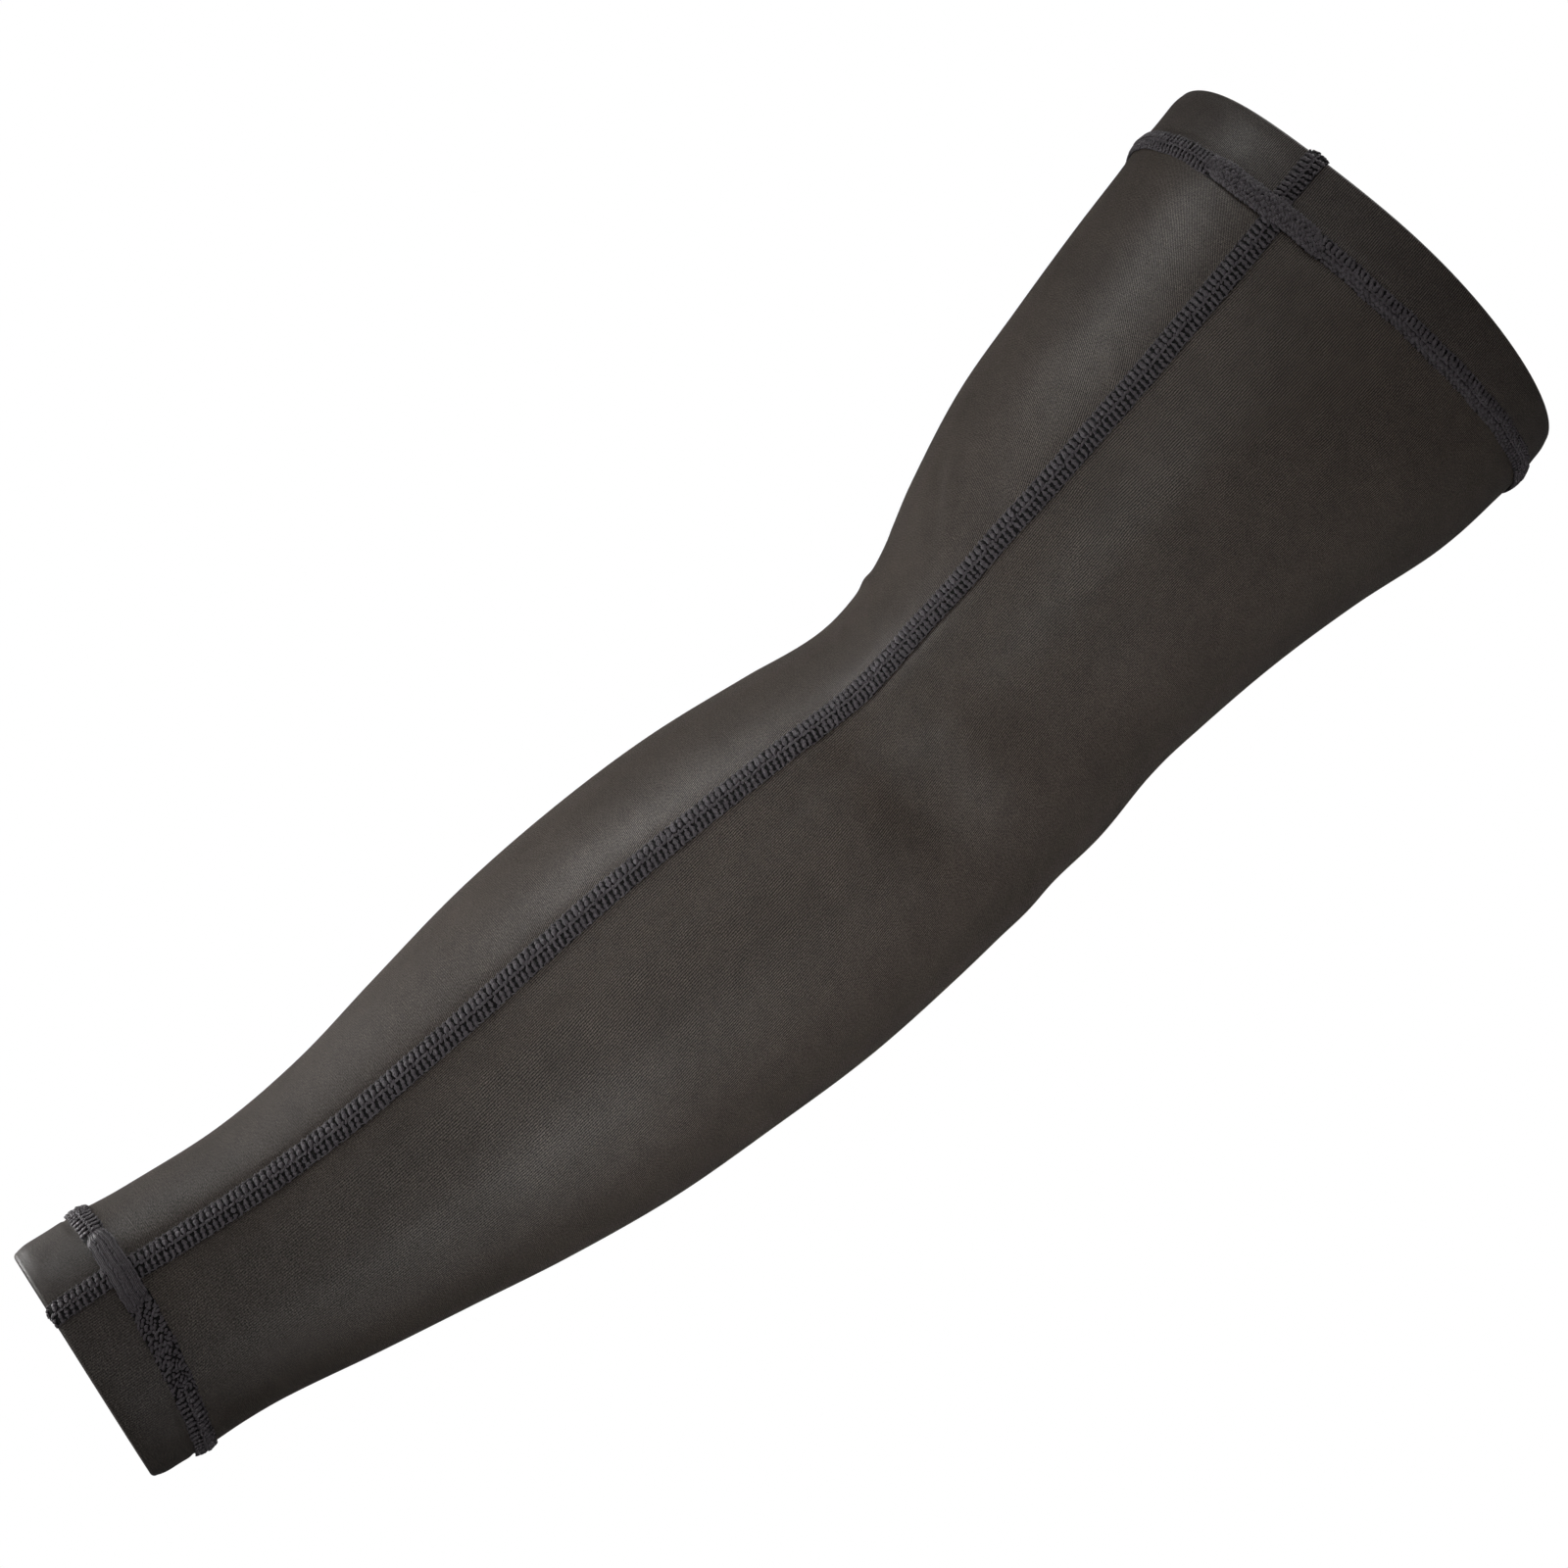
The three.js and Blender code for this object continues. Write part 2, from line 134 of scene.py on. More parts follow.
# %% Hang the lights
Softbox = namedtuple("Softbox", "name right up near size power aim_right aim_up spread")
SOFTBOXES = [
    Softbox("pool from above the crook", -0.50, 0.90, 0.20, 0.40, 0.280, -0.05, 0.00, 18),
    Softbox("pool from below the elbow", 0.30, -0.60, 0.60, 0.30, 0.115, 0.02, -0.01, 18),
    Softbox("pool on the upper arm", 0.00, 0.30, 1.00, 0.30, 0.058, 0.045, 0.05, 12),
    Softbox("pool on the forearm", -0.10, -0.20, 1.00, 0.30, 0.036, -0.04, -0.07, 12),
    Softbox("pool on the elbow's point", 0.50, -0.90, 0.30, 0.40, 0.070, 0.03, -0.01, 16),
    Softbox("pool on the wrist", -0.90, -0.10, 0.50, 0.30, 0.060, -0.15, -0.13, 12),
    Softbox("near box below the elbow", 0.12, -0.255, 0.41, 0.25, 0.36, 0, 0, 180),
    Softbox("box behind the wrist", -0.49, -0.005, -0.105, 0.25, 2.85, 0, 0, 180),
    Softbox("high box behind", 0.559, 1.092, -0.416, 0.6, 7.5, 0, 0, 180),
    Softbox("high box on the left", -0.416, 1.014, 0.702, 0.6, 1.63, 0, 0, 180),
]
AMBIENT = 0.10

for box in SOFTBOXES:
    light_data = bpy.data.lights.new(box.name, "AREA")
    light_data.shape = "SQUARE"
    light_data.size = box.size
    light_data.energy = box.power
    light_data.spread = math.radians(box.spread)
    light = bpy.data.objects.new(box.name, light_data)
    bpy.context.collection.objects.link(light)
    offset = box.right * picture_right + box.up * picture_up - box.near * look
    light.location = target + offset
    aim = box.aim_right * picture_right + box.aim_up * picture_up
    light.rotation_mode = "QUATERNION"
    light.rotation_quaternion = (offset - aim).to_track_quat("Z", "Y")
    light.visible_camera = False

world = bpy.data.worlds.new("studio")
bpy.context.scene.world = world
world.use_nodes = True
sky = world.node_tree
background = sky.nodes["Background"]
seen_directly = sky.nodes.new("ShaderNodeLightPath")
strength = sky.nodes.new("ShaderNodeMix")
strength.inputs[2].default_value = AMBIENT
strength.inputs[3].default_value = 1.0
sky.links.new(seen_directly.outputs["Is Camera Ray"], strength.inputs[0])
sky.links.new(strength.outputs[0], background.inputs["Strength"])
background.inputs["Color"].default_value = (1, 1, 1, 1)
bpy.context.scene.view_settings.view_transform = "Standard"
print("lights:", len(SOFTBOXES))

# %% [markdown]
# ## One surface for every piece
#
# All of the sleeve lies on one surface, the outer face of the fabric. A place on it has a distance
# along the sleeve, down the bent centreline, and an angle round it: 0 at the crook of the elbow,
# 90 on the seen side and 180 at the elbow's point. The section sizes, the seam's course and the
# folds stand in short tables, and a smooth curve runs through each column. Sculpting would be
# freer, but with one function every hem, seam and thread finds its place by itself.

# %% Sizes of the form
SLEEVE_LENGTH = 0.4135
ELBOW_DISTANCE, ELBOW_BEND, ELBOW_RADIUS = 0.1575, math.radians(13.7), 0.250
UPPER, ELBOW, FOREARM, WRIST = 0.125, 0.0835, 0.094, 0.0625
FABRIC_WALL, HEM_WALL = 0.0012, 0.0023
UPPER_BAND_HEIGHT, WRIST_BAND_HEIGHT = 0.0151, 0.0159
CLEARANCE = 0.0003

Section = namedtuple("Section", "at width front back side")
SECTIONS = [
    Section(0.00, UPPER, 0.493, 0.505, 0.385),
    Section(0.05, UPPER, 0.485, 0.500, 0.387),
    Section(0.10, UPPER, 0.476, 0.479, 0.390),
    Section(0.16, UPPER, 0.460, 0.422, 0.388),
    Section(0.22, UPPER, 0.440, 0.376, 0.375),
    Section(0.28, ELBOW, 0.590, 0.515, 0.530),
    Section(0.32, ELBOW, 0.529, 0.494, 0.505),
    Section(0.36, ELBOW, 0.490, 0.509, 0.492),
    Section(0.40, ELBOW, 0.477, 0.512, 0.492),
    Section(0.46, FOREARM, 0.449, 0.494, 0.448),
    Section(0.53, FOREARM, 0.468, 0.525, 0.452),
    Section(0.60, FOREARM, 0.458, 0.529, 0.446),
    Section(0.67, FOREARM, 0.425, 0.524, 0.424),
    Section(0.74, FOREARM, 0.366, 0.491, 0.378),
    Section(0.80, WRIST, 0.470, 0.674, 0.478),
    Section(0.86, WRIST, 0.434, 0.609, 0.414),
    Section(0.92, WRIST, 0.455, 0.539, 0.368),
    Section(0.96, WRIST, 0.480, 0.518, 0.354),
    Section(1.00, WRIST, 0.500, 0.506, 0.350),
]

Course = namedtuple("Course", "at angle crest")
SEAM_COURSE = [
    Course(0.00, 65.5, 0.1),
    Course(0.12, 65.0, 0.2),
    Course(0.24, 62.5, 0.5),
    Course(0.36, 53.5, 1.0),
    Course(0.43, 57.5, 1.0),
    Course(0.50, 61.5, 1.0),
    Course(0.61, 65.0, 0.8),
    Course(0.73, 69.0, 0.5),
    Course(0.84, 69.5, 0.2),
    Course(0.95, 67.2, 0.1),
    Course(1.00, 64.5, 0.1),
]

# %% Folds of the worn fabric
Fold = namedtuple("Fold", "name at angle turn long wide high")
FOLDS = [
    Fold("hollow beside the elbow", 0.430, 86, 96, 0.300, 0.110, -0.016),
    Fold("swell above the hollow", 0.395, 100, 96, 0.280, 0.110, 0.010),
    Fold("crease of the crook", 0.292, 28, 32, 0.150, 0.040, -0.011),
    Fold("step of the crook", 0.352, 4, 80, 0.120, 0.030, 0.008),
    Fold("first wrinkle", 0.361, 30, 62, 0.070, 0.020, 0.004),
    Fold("second wrinkle", 0.380, 33, 62, 0.100, 0.022, 0.005),
    Fold("third wrinkle", 0.402, 28, 58, 0.090, 0.024, 0.004),
    Fold("point of the elbow", 0.412, 172, 90, 0.220, 0.080, 0.008),
]
SOFT_FOLDS = [
    Fold("strip under the seam at the elbow", 0.500, 76, 3, 0.450, 0.058, -0.014),
    Fold("strip under the seam below it", 0.640, 81, 3, 0.600, 0.060, -0.008),
    Fold("valley below the elbow", 0.448, 90, 100, 0.260, 0.065, -0.012),
    Fold("swell of the upper arm", 0.210, 95, 0, 0.600, 0.150, 0.008),
]

# %% Read a table smoothly
def smooth_column(rows, value, at):
    """A column of a table at a share of the sleeve's length, smoothly from row to row."""
    places = np.array([row.at for row in rows])
    values = np.array([value(row) for row in rows])
    last = len(rows) - 1
    before = np.maximum(np.arange(last + 1) - 1, 0)
    after = np.minimum(np.arange(last + 1) + 1, last)
    slopes = (values[after] - values[before]) / (places[after] - places[before])
    at = np.asarray(at, float)
    i = np.minimum(np.searchsorted(places[1:], at, side="left"), last - 1)
    step = places[i + 1] - places[i]
    t = np.clip((at - places[i]) / step, -0.5, 1.5)
    a, b, u, v = values[i], values[i + 1], slopes[i] * step, slopes[i + 1] * step
    return a + t * (u + t * (3 * (b - a) - 2 * u - v + t * (2 * (a - b) + u + v)))


def turn_between(start, end):
    return np.mod(end - start + 180, 360) - 180


def seam_angle(distance):
    return smooth_column(SEAM_COURSE, lambda row: row.angle, distance / SLEEVE_LENGTH)


def cosine(angle):
    return np.cos(np.radians(angle))


def sine(angle):
    return np.sin(np.radians(angle))

# %% Where the openings and the hem seams lie
UPPER_BAND_SEAM_ANGLE, WRIST_BAND_SEAM_ANGLE = 63.8, 64.8


def upper_rim(angle):
    drawn_in = 0.0016 * np.exp(-((turn_between(UPPER_BAND_SEAM_ANGLE, angle) / 30) ** 2))
    return drawn_in - 0.0032 * cosine(angle)


def upper_seam(angle):
    return UPPER_BAND_HEIGHT - 0.0006 * cosine(angle) + 0.0038 * sine(angle) ** 2


def wrist_rim(angle):
    return SLEEVE_LENGTH - 0.0017 * cosine(angle)


def wrist_seam(angle):
    middle = SLEEVE_LENGTH - WRIST_BAND_HEIGHT
    return middle - 0.0035 * cosine(angle) - 0.0025 * sine(angle) ** 2

# %% Heights above the plain section
SEAM_CREST, CREST_REACH, SEAM_WIDTH = 0.0016, 0.009, 0.0064
HEM_SWELL, HEM_SWELL_REACH = 0.0004, 0.005


def girth_at(distance):
    at = distance / SLEEVE_LENGTH
    depth = smooth_column(SECTIONS, lambda row: (row.front + row.back) * row.width / 2, at)
    return math.pi * (depth + smooth_column(SECTIONS, lambda row: row.side * row.width, at))


def fold_height(distance, angle):
    """Folds, the crest that the seam tents up, and the swell at the hems."""
    girth = girth_at(distance)
    height = np.zeros(np.broadcast(distance, angle).shape)
    for fold in FOLDS + SOFT_FOLDS:
        along = distance - fold.at * SLEEVE_LENGTH
        across = turn_between(fold.angle, angle) / 360 * girth
        u = (along * cosine(fold.turn) + across * sine(fold.turn)) / (fold.long * ELBOW)
        v = (across * cosine(fold.turn) - along * sine(fold.turn)) / (fold.wide * ELBOW)
        height += fold.high * ELBOW * np.exp(-u * u - v * v)
    crest = smooth_column(SEAM_COURSE, lambda row: row.crest, distance / SLEEVE_LENGTH)
    off = turn_between(seam_angle(distance), angle) / 360 * girth
    height += SEAM_CREST * crest * np.exp(-np.hypot(off, SEAM_WIDTH / 2) / CREST_REACH)
    for seam in (upper_seam, wrist_seam):
        height += HEM_SWELL * np.exp(-(((distance - seam(angle)) / HEM_SWELL_REACH) ** 2))
    return height

# %% The outer face of the fabric
def centre_at(distance):
    """A point of the bent centreline, and the direction to the elbow's point there."""
    straight = ELBOW_DISTANCE - ELBOW_RADIUS * math.tan(ELBOW_BEND / 2)
    turned = np.clip((distance - straight) / ELBOW_RADIUS, 0, ELBOW_BEND)
    below = np.maximum(0, distance - straight - ELBOW_RADIUS * ELBOW_BEND)
    x = -ELBOW_RADIUS * (1 - np.cos(turned)) - below * np.sin(turned)
    z = -np.minimum(distance, straight) - ELBOW_RADIUS * np.sin(turned) - below * np.cos(turned)
    zero = np.zeros_like(x)
    return np.stack([x, zero, z], -1), np.stack([np.cos(turned), zero, -np.sin(turned)], -1)


def fabric(distance, angle):
    distance, angle = np.broadcast_arrays(np.asarray(distance, float), np.asarray(angle, float))
    at = distance / SLEEVE_LENGTH
    front = smooth_column(SECTIONS, lambda row: row.front * row.width, at)
    back = smooth_column(SECTIONS, lambda row: row.back * row.width, at)
    side = smooth_column(SECTIONS, lambda row: row.side * row.width, at)
    c, s = cosine(angle), sine(angle)
    reach = np.where(c > 0, front, back)
    out_x, out_y = -c / reach, -s / side
    size = np.hypot(out_x, out_y)
    height = fold_height(distance, angle)
    point, towards_back = centre_at(distance)
    point = point + towards_back * (height * out_x / size - c * reach)[..., None]
    point[..., 1] += height * out_y / size - s * side
    return point


def unit(vectors):
    return vectors / np.linalg.norm(vectors, axis=-1, keepdims=True)


def outward_at(distance, angle):
    across = fabric(distance, angle + 0.5) - fabric(distance, angle - 0.5)
    along = fabric(distance + 0.0005, angle) - fabric(distance - 0.0005, angle)
    return unit(np.cross(along, across))


def on_fabric(distance, angle, height):
    """A place above the outer face, or below it where the height is negative."""
    lift = np.broadcast_to(height, np.broadcast(distance, angle).shape)[..., None]
    return fabric(distance, angle) + outward_at(distance, angle) * lift


def round_scale(distance, angle):
    """Metres round the sleeve for each degree."""
    step = fabric(distance, angle + 0.5) - fabric(distance, angle - 0.5)
    return np.linalg.norm(step, axis=-1)


print("girth at the two ends:", [round(float(girth_at(d)), 3) for d in (0.0, SLEEVE_LENGTH)])

# %% [markdown]
# ## From a grid of points to a closed skin
#
# Every soft piece here is a grid of points: one direction runs round a section, the other along
# the piece. A ring closes both ways like a doughnut, and a strip gets a flat cap at each end. The
# cloth's own coordinates, in metres along and across the knit, are kept as a UV map, so that the
# ribs follow the cloth and not the room.

# %% A helper that makes the mesh
def skin(name, points, cloth, ring, shade=None):
    """points[i, j] runs j round a section; cloth has one more row and column to wrap over."""
    rows, columns = points.shape[:2]
    links = rows if ring else rows - 1
    i, j = np.meshgrid(np.arange(links), np.arange(columns), indexing="ij")
    next_i, next_j = (i + 1) % rows, (j + 1) % columns
    quads = np.stack(
        [i * columns + j, next_i * columns + j, next_i * columns + next_j, i * columns + next_j], -1
    ).reshape(-1, 4)
    wraps = np.stack(
        [cloth[i, j], cloth[i + 1, j], cloth[i + 1, j + 1], cloth[i, j + 1]], -2
    ).reshape(-1, 4, 2)
    flat = points.reshape(-1, 3)
    a, b, c, d = (flat[quads[:, k]] for k in range(4))
    volume = np.einsum("ij,ij->", a, np.cross(b, c)) + np.einsum("ij,ij->", a, np.cross(c, d))
    if volume < 0:
        quads, wraps = quads[:, ::-1], wraps[:, ::-1]
    faces = quads.tolist()
    if not ring:
        first, last = list(range(columns)), list(range((rows - 1) * columns, rows * columns))
        faces += [first[::-1], last] if volume < 0 else [first, last[::-1]]
    mesh = bpy.data.meshes.new(name)
    mesh.from_pydata(flat.tolist(), [], faces)
    layer = mesh.uv_layers.new(name="cloth")
    caps = np.zeros((len(layer.data) - wraps.size // 2, 2))
    layer.data.foreach_set("uv", np.concatenate([wraps.reshape(-1, 2), caps]).ravel())
    if shade is not None:
        mesh.attributes.new("shade", "FLOAT", "POINT").data.foreach_set("value", shade.ravel())
    mesh.shade_smooth()
    piece = bpy.data.objects.new(name, mesh)
    bpy.context.collection.objects.link(piece)
    print(name, "faces:", len(mesh.polygons), "box:", [round(v, 4) for v in flat.min(0)],
          [round(v, 4) for v in flat.max(0)])
    return piece


def compare_with(node, piece):
    """Prints how far a piece's box departs from that of the CAD node it stands for."""
    low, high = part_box(node)
    flat = np.array([v.co for v in piece.data.vertices])
    gaps = [*(flat.min(0) - np.array(low)), *(flat.max(0) - np.array(high))]
    print(node, "differs by mm:", [round(1000 * gap, 2) for gap in gaps])

# %% [markdown]
# ## The rib knit
#
# Under a lens the fabric is rows of V-shaped loops. The columns of loops, the wales, run lengthwise
# about half a millimetre apart and are what the eye sees as fine ribs. Modelled loops would take millions of
# faces, so the loops are drawn by a shader node group from the cloth's own coordinates. It puts out
# a height for the bump and a relief from 0 in the valleys to 1 on the crests, and each material
# sets its own pitch. An uneven yarn comes from two noises, one fine and one broad. Towards the
# wrist the cloth is stretched less, the ribs close up, and little more than the grain is seen.

# %% A node group for the knit
def shader_group(name, inputs, outputs):
    """An empty shader node group with named inputs and outputs."""
    group = bpy.data.node_groups.new(name, "ShaderNodeTree")
    for label, kind, value in inputs:
        socket = group.interface.new_socket(label, in_out="INPUT", socket_type=kind)
        if value is not None:
            socket.default_value = value
    for label, kind in outputs:
        group.interface.new_socket(label, in_out="OUTPUT", socket_type=kind)
    return group, group.nodes.new("NodeGroupInput"), group.nodes.new("NodeGroupOutput")


def put(socket, value):
    """Links an output to a socket, or sets a plain number on it."""
    if isinstance(value, bpy.types.NodeSocket):
        socket.id_data.links.new(value, socket)
    else:
        socket.default_value = value


def calculate(tree, operation, *values):
    """A Math node, fed by sockets or numbers."""
    node = tree.nodes.new("ShaderNodeMath")
    node.operation = operation
    for socket, value in zip(node.inputs, values):
        put(socket, value)
    return node.outputs[0]


knit_group, knit_in, knit_out = shader_group(
    "rib knit",
    [
        ("Cloth", "NodeSocketVector", None),
        ("Wale Pitch", "NodeSocketFloat", 0.00050),
        ("Course Pitch", "NodeSocketFloat", 0.00042),
        ("Loop Depth", "NodeSocketFloat", 0.35),
        ("Unevenness", "NodeSocketFloat", 1.3),
    ],
    [("Relief", "NodeSocketFloat"), ("Mottle", "NodeSocketFloat")],
)
split = knit_group.nodes.new("ShaderNodeSeparateXYZ")
put(split.inputs[0], knit_in.outputs["Cloth"])
def noise(tree, vector, scale, detail=2.0):
    """A Noise texture's value on a vector of metres; scale is spots to the metre."""
    node = tree.nodes.new("ShaderNodeTexNoise")
    put(node.inputs["Vector"], vector)
    node.inputs["Scale"].default_value = scale
    node.inputs["Detail"].default_value = detail
    return node.outputs["Fac"]


cloth_place = knit_in.outputs["Cloth"]
drift = calculate(knit_group, "MULTIPLY_ADD", noise(knit_group, cloth_place, 350), 0.5, -0.25)
wale = calculate(knit_group, "DIVIDE", split.outputs[0], knit_in.outputs["Wale Pitch"])
wale_share = calculate(knit_group, "FRACT", calculate(knit_group, "ADD", wale, drift))
from_crest = calculate(
    knit_group, "ABSOLUTE", calculate(knit_group, "MULTIPLY_ADD", wale_share, 2.0, -1.0))
sharp_rib = calculate(knit_group, "SUBTRACT", 1.0, calculate(knit_group, "POWER", from_crest, 1.3))
open_share = knit_group.nodes.new("ShaderNodeMapRange")
for socket, value in zip(open_share.inputs, (split.outputs[1], 0.27, 0.38, 1.0, 0.35)):
    put(socket, value)
rib = calculate(knit_group, "MULTIPLY_ADD", calculate(
    knit_group, "SUBTRACT", sharp_rib, 0.42), open_share.outputs[0], 0.42)
course = calculate(knit_group, "DIVIDE", split.outputs[1], knit_in.outputs["Course Pitch"])
slanted = calculate(knit_group, "MULTIPLY_ADD", from_crest, 0.5, course)
wave = calculate(knit_group, "SINE", calculate(knit_group, "MULTIPLY", slanted, 2 * math.pi))
gap = calculate(knit_group, "MULTIPLY_ADD", wave, -0.5, 0.5)
looped = calculate(knit_group, "MULTIPLY", rib, calculate(
    knit_group, "SUBTRACT", 1.0, calculate(
        knit_group, "MULTIPLY", knit_in.outputs["Loop Depth"], gap)))
grain = calculate(knit_group, "SUBTRACT", noise(knit_group, cloth_place, 2600), 0.5)
yarn = calculate(knit_group, "MULTIPLY", grain, knit_in.outputs["Unevenness"])
fine_patches = noise(knit_group, cloth_place, 260)
broad_patches = noise(knit_group, cloth_place, 45, 3.0)
put(knit_out.inputs["Relief"], calculate(knit_group, "ADD", looped, yarn))
put(knit_out.inputs["Mottle"], calculate(
    knit_group, "MULTIPLY_ADD", fine_patches, 0.5, calculate(
        knit_group, "MULTIPLY", broad_patches, 0.5)))

# %% Materials of the knit
def knit_material(name, valley, crest, roughness, wale_pitch, relief_height, shaded=False):
    """A dark stretch knit with a soft gloss; valley and crest are colours between and on the ribs, painted shade in
    the valleys and painted sheen on the crests. Where shaded, the piece's shade attribute adds painted shade.
    """
    material = bpy.data.materials.new(name)
    material.use_nodes = True
    tree = material.node_tree
    shader = tree.nodes["Principled BSDF"]
    cloth = tree.nodes.new("ShaderNodeUVMap")
    cloth.uv_map = "cloth"
    knit = tree.nodes.new("ShaderNodeGroup")
    knit.node_tree = knit_group
    knit.inputs["Wale Pitch"].default_value = wale_pitch
    put(knit.inputs["Cloth"], cloth.outputs["UV"])
    relief = knit.outputs["Relief"]
    lit = calculate(tree, "POWER", calculate(tree, "MAXIMUM", relief, 0.0), 1.5)
    # Painted shade and sheen: the dark valley colour stands for shade between the ribs, the light crest colour for
    # sheen on them.
    colour = tree.nodes.new("ShaderNodeMix")
    colour.data_type = "RGBA"
    put(colour.inputs[0], lit)
    put(colour.inputs[6], (*valley, 1))
    put(colour.inputs[7], (*crest, 1))
    mottled_and_shaded_colour = tree.nodes.new("ShaderNodeMix")
    mottled_and_shaded_colour.data_type = "RGBA"
    mottled_and_shaded_colour.blend_type = "MULTIPLY"
    mottled_and_shaded_colour.inputs[0].default_value = 1.0
    put(mottled_and_shaded_colour.inputs[6], colour.outputs[2])
    # The mottle is the yarn's own uneven tone; on the seams the shade attribute multiplies painted shade into it.
    mottle_and_painted_shade = calculate(tree, "MULTIPLY_ADD", knit.outputs["Mottle"], 1.0, 0.5)
    if shaded:
        depth = tree.nodes.new("ShaderNodeAttribute")
        depth.attribute_name = "shade"
        mottle_and_painted_shade = calculate(tree, "MULTIPLY", mottle_and_painted_shade, depth.outputs["Fac"])
    grey = tree.nodes.new("ShaderNodeCombineColor")
    for k in range(3):
        put(grey.inputs[k], mottle_and_painted_shade)
    put(mottled_and_shaded_colour.inputs[7], grey.outputs[0])
    put(shader.inputs["Base Color"], mottled_and_shaded_colour.outputs[2])
    put(shader.inputs["Roughness"], calculate(tree, "MULTIPLY_ADD", relief, -0.12, roughness))
    shader.inputs["Specular IOR Level"].default_value = 0.15
    glossy = calculate(tree, "MULTIPLY", calculate(tree, "MULTIPLY", lit, mottle_and_painted_shade), 0.7)
    put(shader.inputs["Coat Weight"], calculate(tree, "MINIMUM", glossy, 1.0))
    shader.inputs["Coat Roughness"].default_value = 0.42
    bump = tree.nodes.new("ShaderNodeBump")
    bump.inputs["Distance"].default_value = relief_height
    put(bump.inputs["Height"], relief)
    put(shader.inputs["Normal"], bump.outputs["Normal"])
    return material


# Each valley colour is painted shade between the ribs, each crest colour painted sheen on them.
knit = knit_material("rib knit", (0.0028, 0.0022, 0.0017), (0.096, 0.0745, 0.0595), 0.65, 0.00050, 0.00006)
hem_knit = knit_material(
    "rib knit of the hems", (0.0043, 0.0035, 0.0029), (0.086, 0.069, 0.0585), 0.65, 0.00050, 0.00005)
seam_knit = knit_material(
    "cloth of the seams", (0.0135, 0.0115, 0.0128), (0.067, 0.057, 0.064), 0.70, 0.00034, 0.00003, True)

# %% [markdown]
# ## The knitted tube
#
# The panel of knit is cut tapered and closed by the long seam, so its wales run parallel to the
# line opposite the seam and end at the seam where the sleeve narrows. That is why the cloth's
# coordinate across is measured from that line. The grid starts at the seam, is closer together at
# the elbow where the wrinkles are, and turns inside at both ends to give the wall its thickness.

# %% Knit the tube
TUBE_COLUMNS, TUBE_ROWS, INNER_ROWS = 250, 250, 60
GRAIN_LINE = 0.1


def gathered(shares, middle, amount):
    """Shares from 0 to 1 that lie closer together round the middle."""
    moved = shares - amount / (2 * math.pi) * (
        np.sin(2 * math.pi * (shares - middle)) + math.sin(2 * math.pi * middle))
    return (moved - moved[0]) / (moved[-1] - moved[0])


def beside_seams(distance, angle):
    """The small grooves that the tight seams draw into the cloth beside them."""
    off = np.abs(turn_between(seam_angle(distance), angle)) / 360 * girth_at(distance)
    depth = 0.0002 * np.exp(-(((off - 0.0036) / 0.0009) ** 2))
    for seam_at in (upper_seam, wrist_seam):
        off = np.abs(distance - seam_at(angle))
        depth = depth + 0.00035 * np.exp(-(((off - 0.0032) / 0.0008) ** 2))
    return -depth


def tube_face(shares, height):
    """One face of the tube: its points and its cloth coordinates."""
    round_share = np.linspace(0, 1, TUBE_COLUMNS + 1)[:, None]
    distance = UPPER_BAND_HEIGHT + shares[None, :] * (
        SLEEVE_LENGTH - WRIST_BAND_HEIGHT - UPPER_BAND_HEIGHT)
    angle = seam_angle(distance) + 360 * round_share
    start, end = upper_seam(angle) + CLEARANCE / 2, wrist_seam(angle) - CLEARANCE / 2
    distance = start + shares[None, :] * (end - start)
    points = on_fabric(distance, angle, height + beside_seams(distance, angle))
    skew = 0.13 * np.maximum(distance - 0.1, 0)
    cloth = np.stack([(round_share - GRAIN_LINE) * cut_width(distance) - skew, distance], -1)
    return points, cloth


stations = np.linspace(0, SLEEVE_LENGTH, 60)
cut_width = np.polynomial.Polynomial.fit(stations, girth_at(stations), 4)
outer, outer_cloth = tube_face(gathered(np.linspace(0, 1, TUBE_ROWS + 1), 0.36, 0.6), 0.0)
inner, inner_cloth = tube_face(np.linspace(1, 0, INNER_ROWS + 1), -FABRIC_WALL)
tube_points = np.concatenate([outer, inner], 1)
tube_cloth = np.concatenate([outer_cloth, inner_cloth, outer_cloth[:, :1]], 1)
knit_tube = skin("knit_tube", tube_points[:-1], tube_cloth, ring=True)
knit_tube.data.materials.append(knit)
compare_with("sleeve_body", knit_tube)

# %% [markdown]
# ## The folded hems
#
# At each end the cloth is turned inside once and stitched down, so the hem is twice as thick and
# its rim is a soft fold. A bevelled cylinder would do for a plain cuff. Here the hem's section is
# swept round the same surface: down the outer face, round the fold, and back up the inside.

# %% Fold the hems
BAND_COLUMNS, BAND_ROWS, FOLD_ROWS = 260, 20, 14
RIM_ROLL, RIM_ROLL_REACH = 0.0006, 0.0035


def hem_course(angle, seam_at, rim_at, side, run):
    """Distance, height and facing at a run along a hem's outer face and over its rim."""
    radius = HEM_WALL / 2
    start = seam_at(angle) + side * CLEARANCE / 2
    end = rim_at(angle) - side * radius
    straight = np.abs(end - start)
    turn = np.maximum(run - straight, 0) / radius
    distance = start + side * (np.minimum(run, straight) + radius * np.sin(turn))
    sunk = RIM_ROLL * np.clip((run - straight) / RIM_ROLL_REACH + 1, 0, 1) ** 2
    return distance, radius * (np.cos(turn) - 1) - sunk, side * np.sin(turn), np.cos(turn), straight


